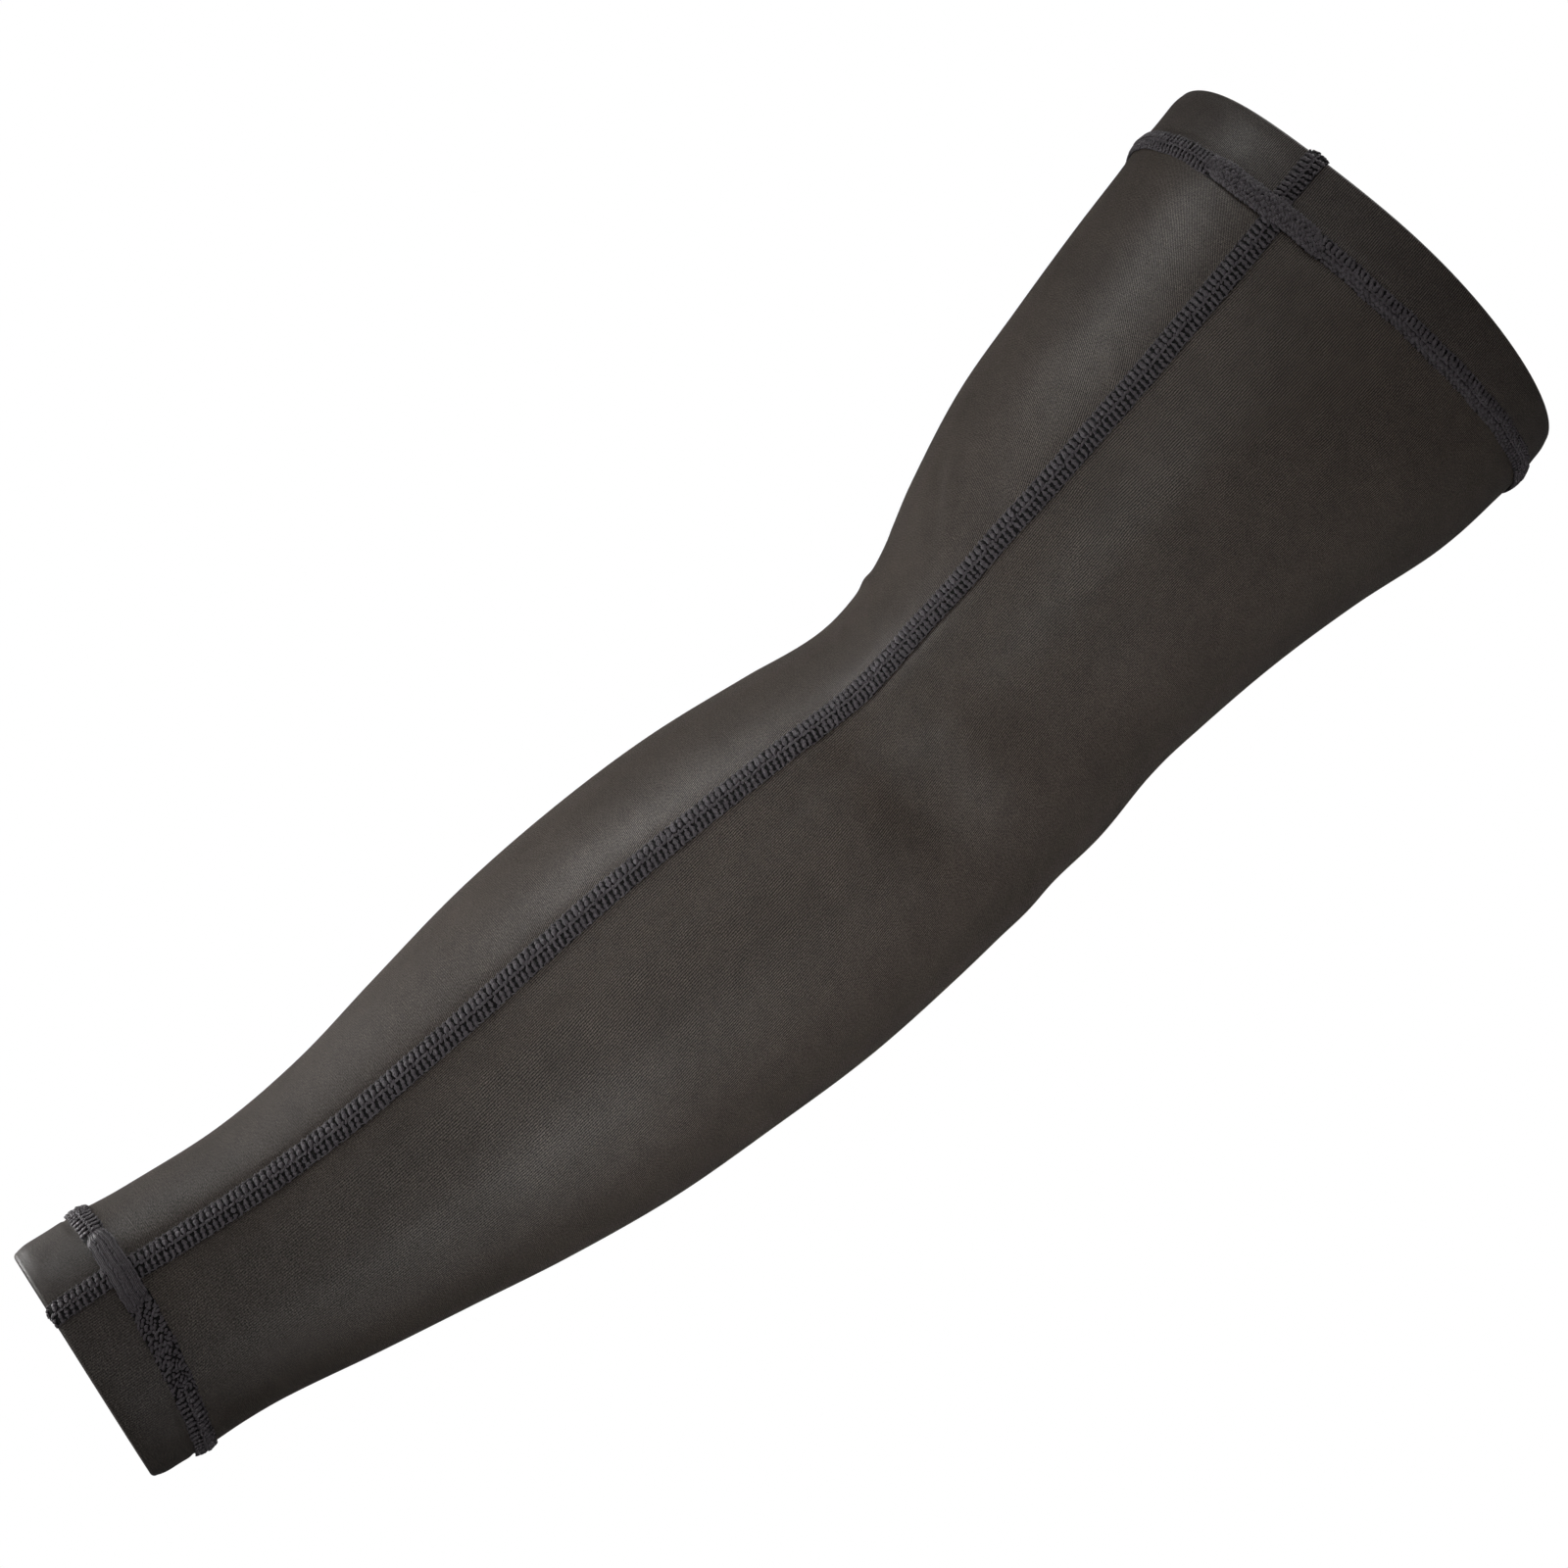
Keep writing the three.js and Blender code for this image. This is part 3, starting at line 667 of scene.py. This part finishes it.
def hem_band(name, seam_at, rim_at, side):
    angle = np.linspace(0, 360, BAND_COLUMNS + 1)[:, None]
    straight = hem_course(angle, seam_at, rim_at, side, 0.0)[4]
    face = np.linspace(0, 1, BAND_ROWS + 1)[None, :-1] * straight
    fold = straight + math.pi * HEM_WALL / 2 * np.linspace(0, 1, FOLD_ROWS + 1)[None, :]
    run = np.concatenate([face, fold], 1)
    distance, height, _, _, _ = hem_course(angle, seam_at, rim_at, side, run)
    back = distance[:, -1:] + np.linspace(0, 1, BAND_ROWS + 1)[None, 1:] * (distance[:, :1] - distance[:, -1:])
    distance = np.concatenate([distance, back], 1)
    fading = RIM_ROLL * np.linspace(1, 0, BAND_ROWS + 1)[None, 1:] ** 2
    height = np.concatenate([height, -HEM_WALL - np.broadcast_to(fading, back.shape)], 1)
    on_face = np.clip(1 + height / HEM_WALL, 0, 1)
    off = np.abs(distance - seam_at(angle))
    height = height - on_face * 0.00035 * np.exp(-(((off - 0.0032) / 0.0008) ** 2))
    points = on_fabric(distance, angle, height)
    steps = np.linalg.norm(np.diff(points, axis=1), axis=-1)
    along = np.concatenate([np.zeros((len(angle), 1)), np.cumsum(steps, 1)], 1)
    u = np.broadcast_to(angle / 360 * girth_at(seam_at(90.0)), along.shape)
    cloth = np.stack([u, seam_at(angle) + along], -1)
    cloth = np.concatenate([cloth, cloth[:, :1]], 1)
    band = skin(name, points[:-1], cloth, ring=True)
    band.data.materials.append(hem_knit)
    return band


upper_hem = hem_band("upper_hem", upper_seam, upper_rim, -1)
wrist_hem = hem_band("wrist_hem", wrist_seam, wrist_rim, 1)
compare_with("upper_band", upper_hem)
compare_with("wrist_band", wrist_hem)

# %% [markdown]
# ## The flat seams
#
# A flat seam joins two cut edges that lie over each other, and its threads pull the cloth into two
# rows of little puffs with tight slits between them. The bed of the seam is a low strip with painted
# shade: its top is coloured nearly black where the threads cover it, so the slits between the puffs
# read dark, and only a rolled edge, where a seam has one, keeps the full colour. The puffs are laid
# on it later, with the threads. Five seams use it, so each seam is described by one function that
# turns a place across and along the seam into a place on the sleeve.

# %% The relief of a seam
Seam = namedtuple("Seam", "name node place length half_width height pitch count closed roll")


def evenly(length, pitch):
    """The pitch nearest to the wanted one that fills the length with whole stitches."""
    count = max(1, round(length / pitch))
    return length / count, count


def rolled_edge(seam, share, along):
    """From 0 to 1 where the seam's edge on the tube's side swells into a smooth roll."""
    return seam.roll(along) * np.exp(-(((share - 0.5) / 0.36) ** 4))


def bed_height(seam, across, along):
    """Height of the bed's top above the fabric."""
    share = across / seam.half_width
    edge = np.clip(1 - np.abs(share) ** 6, 0, 1)
    relief = 0.36 + 0.60 * rolled_edge(seam, share, along)
    return 0.00008 + seam.height(along) * edge * relief


def seam_bed(seam, rows_each=4, top=18, bottom=4):
    rows = seam.count * rows_each + (0 if seam.closed else 1)
    along = np.linspace(0, seam.length, seam.count * rows_each + 1)[:rows, None]
    across = np.concatenate([np.linspace(-1, 1, top + 1), np.linspace(1, -1, bottom + 1)[1:-1]])
    wide = np.broadcast_to(across[None, :] * seam.half_width, (rows, len(across)))
    face = wide[:, :top + 1]
    under = np.full((rows, bottom - 1), 0.00005)
    height = np.concatenate([bed_height(seam, face, along), under], 1)
    points = seam.place(wide, np.broadcast_to(along, wide.shape), height)
    # Painted shade: the bed's top is nearly black where the threads cover it and keeps its full colour only on a
    # rolled edge; its underside gets painted shade of 0.2.
    light = 0.03 + 0.97 * rolled_edge(seam, face / seam.half_width, along)
    shade = np.concatenate([light, np.full((rows, bottom - 1), 0.2)], 1)
    u = np.append(across, across[0]) * seam.half_width
    v = np.linspace(0, seam.length, seam.count * rows_each + 1)
    cloth = np.stack(np.broadcast_arrays(u[None, :], v[:, None]), -1)
    bed = skin(seam.name, points, cloth, ring=seam.closed, shade=shade)
    bed.data.materials.append(seam_knit)
    return bed

# %% The five seams
HEM_SEAM_WIDTH, HEM_SEAM_HEIGHT = 0.0056, 0.0008
BAND_SEAM_WIDTH, BAND_SEAM_HEIGHT = 0.0056, 0.0009
LONG_PITCH, RING_PITCH, BAND_PITCH = 0.00167, 0.00150, 0.00160
SEAM_HEIGHT = 0.0009


def no_roll(along):
    return np.zeros_like(along)


def long_seam():
    end_gap = HEM_SEAM_WIDTH / 2 * 1.05
    def ends(across):
        first = seam_angle(UPPER_BAND_HEIGHT) + across / round_scale(UPPER_BAND_HEIGHT, 65.0)
        last = seam_angle(SLEEVE_LENGTH - WRIST_BAND_HEIGHT) + across / round_scale(
            SLEEVE_LENGTH - WRIST_BAND_HEIGHT, 65.0)
        return upper_seam(first) + end_gap, wrist_seam(last) - end_gap
    first, last = ends(0.0)
    length = float(last - first)
    pitch, count = evenly(length, LONG_PITCH)
    def place(across, along, height):
        start, end = ends(across)
        distance = start + along / length * (end - start)
        middle = seam_angle(distance)
        return on_fabric(distance, middle + across / round_scale(distance, middle), height)
    def rise(along):
        return np.full_like(along, SEAM_HEIGHT + CLEARANCE)
    return Seam("long_seam_bed", "long_seam", place, length, SEAM_WIDTH / 2,
                rise, pitch, count, False, no_roll)


def ring_seam(name, node, seam_at, overlap_angle, overlap_spread, crossing, roll_from, roll_to):
    angles = np.linspace(0, 360, 1441)
    path = fabric(seam_at(angles), angles)
    run = np.concatenate([[0], np.cumsum(np.linalg.norm(np.diff(path, axis=0), axis=1))])
    length = float(run[-1])
    pitch, count = evenly(length, RING_PITCH)
    def angle_of(along):
        return np.interp(along, run, angles)
    def near(angle):
        return np.exp(-((turn_between(overlap_angle, angle) / overlap_spread) ** 4))
    def place(across, along, height):
        angle = angle_of(along)
        wide = across * (1 + 0.12 * near(angle))
        wander = 0.00012 * np.sin(angle * 0.35) + 0.00008 * np.sin(angle * 0.83 + 1)
        return on_fabric(seam_at(angle) + wide + wander, angle, height)
    def rise(along):
        angle = angle_of(along)
        over_seam = 0.35 * np.exp(-((turn_between(crossing, angle) / 360 * length / 0.004) ** 4))
        return CLEARANCE + HEM_SEAM_HEIGHT * (1 + 0.25 * near(angle) + over_seam)
    def roll(along):
        angle = angle_of(along)
        return 1 / (1 + np.exp((roll_from - angle) / 2)) / (1 + np.exp((angle - roll_to) / 12))
    seam = Seam(name, node, place, length, HEM_SEAM_WIDTH / 2, rise, pitch, count, True,
                roll if roll_to > roll_from else no_roll)
    return seam, lambda angle: np.interp(angle, angles, run)


def band_seam(name, node, middle, seam_at, rim_at, side):
    gap = HEM_SEAM_WIDTH / 2 * 1.05
    def start_at(angle):
        return seam_at(angle) + side * gap
    straight = float(hem_course(middle, start_at, rim_at, side, 0.0)[4])
    length = straight + math.radians(110) * HEM_WALL / 2
    pitch, count = evenly(length, BAND_PITCH)
    scale = float(round_scale(rim_at(middle), middle))
    def place(across, along, height):
        angle = middle + across / scale
        here = hem_course(angle, start_at, rim_at, side, 0.0)[4]
        run = np.where(along < straight, along * here / straight, here + along - straight)
        distance, low, forward, out, _ = hem_course(angle, start_at, rim_at, side, run)
        return on_fabric(distance + forward * height, angle, low + out * height)
    def rise(along):
        return np.full_like(along, BAND_SEAM_HEIGHT + CLEARANCE)
    return Seam(name, node, place, length, BAND_SEAM_WIDTH / 2, rise, pitch, count, False, no_roll)


upper_ring, upper_run = ring_seam(
    "upper_ring_bed", "upper_hem_seam", upper_seam, 60, 20, 65.2, 79, 150)
wrist_ring, wrist_run = ring_seam(
    "wrist_ring_bed", "wrist_hem_seam", wrist_seam, 84, 42, 67.0, 0, 0)
seams = [
    long_seam(), upper_ring, wrist_ring,
    band_seam("upper_band_seam_bed", "upper_band_seam", UPPER_BAND_SEAM_ANGLE, upper_seam, upper_rim, -1),
    band_seam("wrist_band_seam_bed", "wrist_band_seam", WRIST_BAND_SEAM_ANGLE, wrist_seam, wrist_rim, 1),
]
beds = {}
for seam in seams:
    beds[seam.node] = seam_bed(seam)
    compare_with(seam.node, beds[seam.node])
    print(seam.node, "stitches:", seam.count, "pitch mm:", round(1000 * seam.pitch, 2))

# %% [markdown]
# ## Where the rings overlap
#
# The machine sews a little past its own start, so each ring is doubled over a few centimetres
# round the long seam. A second narrow strip lies on the ring there. It sinks into the ring at its
# far end and stops in a small slanted step at the other, as a real overlap does.

# %% The doubled stretches
def overlap_strip(name, ring, run_at, first_angle, last_angle, half_width, shift, lift, slant):
    start, end = float(run_at(first_angle)), float(run_at(last_angle))
    length = end - start
    pitch, count = evenly(length, RING_PITCH)
    def place(across, along, height):
        share = np.clip(along / length, 0, 1)
        sunk = np.clip(share / 0.16, 0, 1) * np.clip((1 - share) / 0.05, 0, 1)
        sunk = sunk * sunk * (3 - 2 * sunk)
        taper = 0.55 + 0.45 * sunk
        wide = across * taper + shift
        base = ring.height(start + along) * 0.5 * sunk + lift * sunk
        return ring.place(wide, start + along + slant * across, base + height)
    def rise(along):
        return np.full_like(along, 0.0006)
    return Seam(name, ring.node, place, length, half_width, rise, pitch, count, False, no_roll)


def strip_bed(strip, lines=3, rows_each=5, top=24, bottom=4):
    """A strip whose top is drawn into a few lengthwise rolls by its thread lines, with painted shade in the grooves
    between the rolls.
    """
    rows = strip.count * rows_each + 1
    along = np.linspace(0, strip.length, rows)[:, None]
    across = np.concatenate([np.linspace(-1, 1, top + 1), np.linspace(1, -1, bottom + 1)[1:-1]])
    rolls = np.abs(np.cos(math.pi * lines * (across[:top + 1] + 1) / 2 + math.pi / 2)) ** 0.6
    ends = np.clip(1 - np.abs(across[:top + 1]) ** 6, 0, 1)
    top_height = 0.00008 + 0.0006 * ends * (0.35 + 0.65 * rolls)
    height = np.concatenate([np.broadcast_to(top_height, (rows, top + 1)),
                             np.full((rows, bottom - 1), 0.00002)], 1)
    wide = np.broadcast_to(across[None, :] * strip.half_width, height.shape)
    points = strip.place(wide, np.broadcast_to(along, height.shape), height)
    # Painted shade: the grooves between the rolls are darkened to a quarter, the underside to 0.2.
    shade = np.concatenate([np.broadcast_to(0.25 + 0.75 * rolls, (rows, top + 1)),
                            np.full((rows, bottom - 1), 0.2)], 1)
    u = np.append(across, across[0]) * strip.half_width
    cloth = np.stack(np.broadcast_arrays(u[None, :], np.linspace(0, strip.length, rows + 1)[:, None]), -1)
    bed = skin(strip.name, points, cloth, ring=False, shade=shade)
    bed.data.materials.append(seam_knit)
    return bed


upper_strip = overlap_strip("upper_overlap", upper_ring, upper_run, 41, 79, 0.0028, 0.0002, 0.0002, 0.5)
wrist_strip = overlap_strip("wrist_overlap", wrist_ring, wrist_run, 38, 84, 0.0027, 0.0001, 0.0004, 0.3)
overlaps = [strip_bed(upper_strip), strip_bed(wrist_strip)]

# %% [markdown]
# ## The threads
#
# Seen close, the thread of a flat seam is a net: a line of knots along each edge, a chain down the
# middle, and between them two rows of plump puffs where the thread wraps the cloth, with dark slits
# from puff to puff. Every knot, link and puff is a grain, a small stretched ball like a grain of
# rice. One short table gives the grains of a single stitch, and it is repeated along the seam.
# Geometry Nodes lay them: a list of points carries each grain's direction, the way out of the cloth
# and its sizes, and the tree sets one ball on each point with a little looseness.

# %% A tree that lays stitches
def tree_input(tree, label, kind, value=None):
    socket = tree.interface.new_socket(label, in_out="INPUT", socket_type=kind)
    if value is not None:
        socket.default_value = value
    return socket


stitching = bpy.data.node_groups.new("lay stitches", "GeometryNodeTree")
stitching.is_modifier = True
tree_input(stitching, "Geometry", "NodeSocketGeometry")
tree_input(stitching, "Looseness", "NodeSocketFloat", 0.15)
tree_input(stitching, "Seed", "NodeSocketInt", 1)
tree_input(stitching, "Thread", "NodeSocketMaterial")
stitching.interface.new_socket("Geometry", in_out="OUTPUT", socket_type="NodeSocketGeometry")


def step(kind, **settings):
    node = stitching.nodes.new(kind)
    for name, value in settings.items():
        setattr(node, name, value)
    return node


given, made = step("NodeGroupInput"), step("NodeGroupOutput")
grain = step("GeometryNodeMeshUVSphere")
grain.inputs["Segments"].default_value = 7
grain.inputs["Rings"].default_value = 5
grain.inputs["Radius"].default_value = 0.5
place = step("GeometryNodeInputPosition")
marked = step("GeometryNodeStoreNamedAttribute", data_type="FLOAT_VECTOR", domain="POINT")
put(marked.inputs["Geometry"], grain.outputs["Mesh"])
marked.inputs["Name"].default_value = "strand"
put(marked.inputs["Value"], place.outputs[0])
lengthwise = step("GeometryNodeTransform")
put(lengthwise.inputs["Geometry"], marked.outputs[0])
lengthwise.inputs["Rotation"].default_value = (0, math.pi / 2, 0)


def carried(name, kind):
    node = step("GeometryNodeInputNamedAttribute", data_type=kind)
    node.inputs["Name"].default_value = name
    return node.outputs["Attribute"]


def chance(low, high, seed_shift):
    node = step("FunctionNodeRandomValue", data_type="FLOAT")
    put(node.inputs[2], low)
    put(node.inputs[3], high)
    shifted = step("ShaderNodeMath", operation="ADD")
    put(shifted.inputs[0], given.outputs["Seed"])
    shifted.inputs[1].default_value = seed_shift
    put(node.inputs["Seed"], shifted.outputs[0])
    return node.outputs[1]


stand = step("FunctionNodeAlignRotationToVector", axis="Z")
put(stand.inputs["Vector"], carried("outward", "FLOAT_VECTOR"))
turned = step("FunctionNodeAlignRotationToVector", axis="X", pivot_axis="Z")
put(turned.inputs["Rotation"], stand.outputs[0])
put(turned.inputs["Vector"], carried("along", "FLOAT_VECTOR"))
less = step("ShaderNodeMath", operation="MULTIPLY")
put(less.inputs[0], given.outputs["Looseness"])
less.inputs[1].default_value = -1.0
sway = step("ShaderNodeCombineXYZ")
put(sway.inputs[2], chance(less.outputs[0], given.outputs["Looseness"], 0))
loose = step("FunctionNodeRotateRotation", rotation_space="LOCAL")
put(loose.inputs[0], turned.outputs[0])
put(loose.inputs[1], sway.outputs[0])
fat = step("ShaderNodeMath", operation="MULTIPLY")
put(fat.inputs[0], carried("wide", "FLOAT"))
put(fat.inputs[1], chance(0.86, 1.12, 7))
size = step("ShaderNodeCombineXYZ")
put(size.inputs[0], carried("reach", "FLOAT"))
put(size.inputs[1], fat.outputs[0])
put(size.inputs[2], carried("high", "FLOAT"))
laid = step("GeometryNodeInstanceOnPoints")
put(laid.inputs["Points"], given.outputs["Geometry"])
put(laid.inputs["Instance"], lengthwise.outputs[0])
put(laid.inputs["Rotation"], loose.outputs[0])
put(laid.inputs["Scale"], size.outputs[0])
real = step("GeometryNodeRealizeInstances")
put(real.inputs[0], laid.outputs[0])
dyed = step("GeometryNodeSetMaterial")
put(dyed.inputs["Geometry"], real.outputs[0])
put(dyed.inputs["Material"], given.outputs["Thread"])
smooth = step("GeometryNodeSetShadeSmooth")
put(smooth.inputs["Geometry"], dyed.outputs[0])
put(made.inputs[0], smooth.outputs[0])
print("nodes that lay stitches:", len(stitching.nodes))

# %% The thread's material
def thread_material(name, dark, light):
    """Twisted thread: fine strands run along each stitch, and fibres make it uneven."""
    material = bpy.data.materials.new(name)
    material.use_nodes = True
    tree = material.node_tree
    shader = tree.nodes["Principled BSDF"]
    where = tree.nodes.new("ShaderNodeTexCoord")
    fibres = noise(tree, where.outputs["Object"], 2400)
    strand = tree.nodes.new("ShaderNodeAttribute")
    strand.attribute_name = "strand"
    side = tree.nodes.new("ShaderNodeSeparateXYZ")
    put(side.inputs[0], strand.outputs["Vector"])
    twisted = calculate(tree, "SINE", calculate(tree, "MULTIPLY", side.outputs[1], 6 * math.pi))
    relief = calculate(tree, "MULTIPLY_ADD", twisted, 0.2, fibres)
    colour = tree.nodes.new("ShaderNodeMix")
    colour.data_type = "RGBA"
    put(colour.inputs[0], relief)
    put(colour.inputs[6], (*dark, 1))
    put(colour.inputs[7], (*light, 1))
    put(shader.inputs["Base Color"], colour.outputs[2])
    put(shader.inputs["Roughness"], calculate(tree, "MULTIPLY_ADD", fibres, 0.3, 0.38))
    shader.inputs["Specular IOR Level"].default_value = 0.45
    bump = tree.nodes.new("ShaderNodeBump")
    bump.inputs["Distance"].default_value = 0.00006
    put(bump.inputs["Height"], relief)
    put(shader.inputs["Normal"], bump.outputs["Normal"])
    return material


thread_finish = thread_material("stitching thread", (0.0095, 0.008, 0.0092), (0.073, 0.0615, 0.070))

# %% The net of grains
Grain = namedtuple("Grain", "from_across from_along to_across to_along wide high lift")
NET = [
    Grain(-0.98, 0.12, -0.86, 0.20, 0.70, 0.50, 0.20),
    Grain(-0.94, 0.34, -0.92, 0.90, 0.34, 0.32, 0.06),
    Grain(-0.80, 0.30, -0.52, 0.40, 1.25, 0.60, 0.14),
    Grain(-0.54, 0.36, -0.14, 0.52, 1.40, 0.75, 0.20),
    Grain(-0.28, 0.50, -0.10, 0.62, 0.70, 0.55, 0.42),
    Grain(-0.08, -0.04, 0.12, 0.40, 0.80, 0.44, 0.20),
    Grain(-0.06, 0.42, 0.10, 0.92, 0.76, 0.44, 0.20),
    Grain(0.20, 0.24, 0.40, 0.34, 0.74, 0.60, 0.26),
    Grain(0.34, 0.28, 0.62, 0.38, 1.30, 0.70, 0.18),
    Grain(0.62, 0.36, 0.90, 0.46, 1.20, 0.62, 0.12),
    Grain(0.84, 0.44, 1.00, 0.56, 0.70, 0.46, 0.22),
    Grain(0.94, 0.70, 0.94, 1.26, 0.34, 0.30, 0.04),
]
ROLLED_LINES = [
    Grain(-0.96, 0.05, -0.92, 0.52, 0.50, 0.42, 0.10),
    Grain(-0.96, 0.54, -0.92, 1.04, 0.50, 0.42, 0.10),
    Grain(-0.40, 0.10, -0.30, 0.48, 0.50, 0.50, 0.16),
    Grain(-0.40, 0.60, -0.30, 0.98, 0.50, 0.50, 0.16),
    Grain(0.30, 0.05, 0.40, 0.45, 0.50, 0.50, 0.16),
    Grain(0.30, 0.55, 0.40, 0.95, 0.50, 0.50, 0.16),
    Grain(0.92, 0.05, 0.96, 0.55, 0.50, 0.42, 0.10),
    Grain(0.92, 0.57, 0.96, 1.03, 0.50, 0.42, 0.10),
]
TANGLE = [
    Grain(-0.98, 0.10, -0.82, 0.30, 0.72, 0.55, 0.15),
    Grain(-0.94, 0.60, -0.70, 0.75, 0.78, 0.60, 0.18),
    Grain(-0.72, 0.05, -0.48, 0.25, 0.84, 0.66, 0.22),
    Grain(-0.52, 0.50, -0.30, 0.72, 0.84, 0.70, 0.22),
    Grain(-0.34, 0.00, -0.10, 0.22, 0.84, 0.70, 0.24),
    Grain(-0.14, 0.46, 0.10, 0.70, 0.84, 0.72, 0.24),
    Grain(0.06, 0.00, 0.32, 0.22, 0.84, 0.70, 0.24),
    Grain(0.26, 0.50, 0.52, 0.70, 0.84, 0.66, 0.22),
    Grain(0.48, 0.02, 0.72, 0.22, 0.84, 0.62, 0.20),
    Grain(0.66, 0.52, 0.90, 0.72, 0.78, 0.56, 0.18),
    Grain(0.84, 0.05, 1.00, 0.28, 0.70, 0.50, 0.15),
]
ROLLED_NET = [grain for grain in NET if grain.to_across < 0.2] + [
    grain._replace(high=0.42, wide=0.95, lift=0.0) for grain in TANGLE if grain.from_across > 0.2
]
Sewing = namedtuple("Sewing", "seam grains first last slack")


def grain_points(sewing, rng):
    """Middle, direction, way out, length, width and height of every grain of one sewing."""
    seam, table = sewing.seam, np.array(sewing.grains)
    number = np.arange(sewing.first, sewing.last)[:, None]
    jitter = rng.normal(0, sewing.slack, (4, len(number), len(table)))
    def end(across, along, k):
        wide = np.clip(table[:, across] + jitter[k] * 0.5, -1, 1) * seam.half_width
        run = np.clip((number + table[:, along] + jitter[k + 1]) * seam.pitch, 0, seam.length)
        lift = bed_height(seam, wide, run) + table[:, 6] / 1000
        return seam.place(wide, run, lift), seam.place(wide, run, lift + 0.0005)
    first, first_up = end(0, 1, 0)
    last, last_up = end(2, 3, 2)
    along = last - first
    reach = np.linalg.norm(along, axis=-1) + 0.0003
    outward = unit(first_up - first + last_up - last)
    wide, high = (np.broadcast_to(table[:, k] / 1000, reach.shape) for k in (4, 5))
    return [a.reshape(-1, a.shape[-1]) if a.ndim == 3 else a.ravel()
            for a in ((first + last) / 2, along, outward, reach, wide, high)]


def sew(name, sewings, seed):
    rng = np.random.default_rng(seed)
    parts = [grain_points(sewing, rng) for sewing in sewings]
    middles, along, outward, reach, wide, high = (np.concatenate(column) for column in zip(*parts))
    mesh = bpy.data.meshes.new(name)
    mesh.from_pydata(middles.tolist(), [], [])
    for label, kind, key, values in (
        ("along", "FLOAT_VECTOR", "vector", along), ("outward", "FLOAT_VECTOR", "vector", outward),
        ("reach", "FLOAT", "value", reach), ("wide", "FLOAT", "value", wide),
        ("high", "FLOAT", "value", high),
    ):
        mesh.attributes.new(label, kind, "POINT").data.foreach_set(key, np.ravel(values))
    points = bpy.data.objects.new(name + "_points", mesh)
    bpy.context.collection.objects.link(points)
    modifier = points.modifiers.new("stitches", "NODES")
    modifier.node_group = stitching
    chosen = {"Looseness": 0.26, "Seed": seed, "Thread": thread_finish}
    for item in stitching.interface.items_tree:
        if item.name in chosen:
            modifier[item.identifier] = chosen[item.name]
    bpy.context.view_layer.update()
    graph = bpy.context.evaluated_depsgraph_get()
    sewn = bpy.data.meshes.new_from_object(points.evaluated_get(graph))
    sewn.name = name
    piece = bpy.data.objects.new(name, sewn)
    bpy.context.collection.objects.link(piece)
    bpy.data.objects.remove(points)
    sewn.calc_loop_triangles()
    print(name, "grains:", len(middles), "triangles:", len(sewn.loop_triangles))
    return piece

# %% Stitch the seams
def stretches(seam, run_at, *parts):
    """Sewings of a ring from angle to angle; each part is a start angle, an end angle, a table, a slack."""
    return [Sewing(seam, grains, int(run_at(first) / seam.pitch), int(run_at(last) / seam.pitch), slack)
            for first, last, grains, slack in parts]


def whole(seam, grains=NET, slack=0.07):
    return Sewing(seam, grains, 0, seam.count, slack)


sewings = {seam.node: [whole(seam)] for seam in seams}
sewings["upper_hem_seam"] = stretches(
    upper_ring, upper_run, (0, 44, NET, 0.07), (78.5, 150, ROLLED_NET, 0.10), (150, 360, NET, 0.07))
sewings["upper_hem_seam"].append(whole(upper_strip, TANGLE, 0.12))
sewings["wrist_hem_seam"] = stretches(
    wrist_ring, wrist_run, (0, 41, NET, 0.06), (83, 128, TANGLE, 0.16), (128, 360, NET, 0.06))
sewings["wrist_hem_seam"].append(whole(wrist_strip, ROLLED_LINES, 0.05))
threads = {node: sew(node + "_threads", jobs, 11 + k) for k, (node, jobs) in enumerate(sewings.items())}

# %% [markdown]
# ## Attach the pieces
#
# Each piece that stands for a CAD node hides that node, and every new piece moves with the one
# rigid body. The tube was cut as a tapered panel and is stretched round the arm, by about a quarter
# in its girth; the relaxed panel's size is printed.

# %% Ride and replaced nodes
for piece, node, slot in (
    (knit_tube, "sleeve_body", "knit"),
    (upper_hem, "upper_band", "hem_knit"),
    (wrist_hem, "wrist_band", "hem_knit"),
    *((bed, node, "stitching") for node, bed in beds.items()),
):
    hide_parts(node)
    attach(piece, "root")
for piece in (*threads.values(), *overlaps):
    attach(piece, "root")

RELAXED = 0.8
panel_width = RELAXED * float(girth_at(UPPER_BAND_HEIGHT))
panel_length = SLEEVE_LENGTH - UPPER_BAND_HEIGHT - WRIST_BAND_HEIGHT
panel_area = RELAXED * float(np.mean(girth_at(stations))) * panel_length
print("panel:", round(panel_width, 3), "by", round(panel_length, 3), "area", round(panel_area, 4))
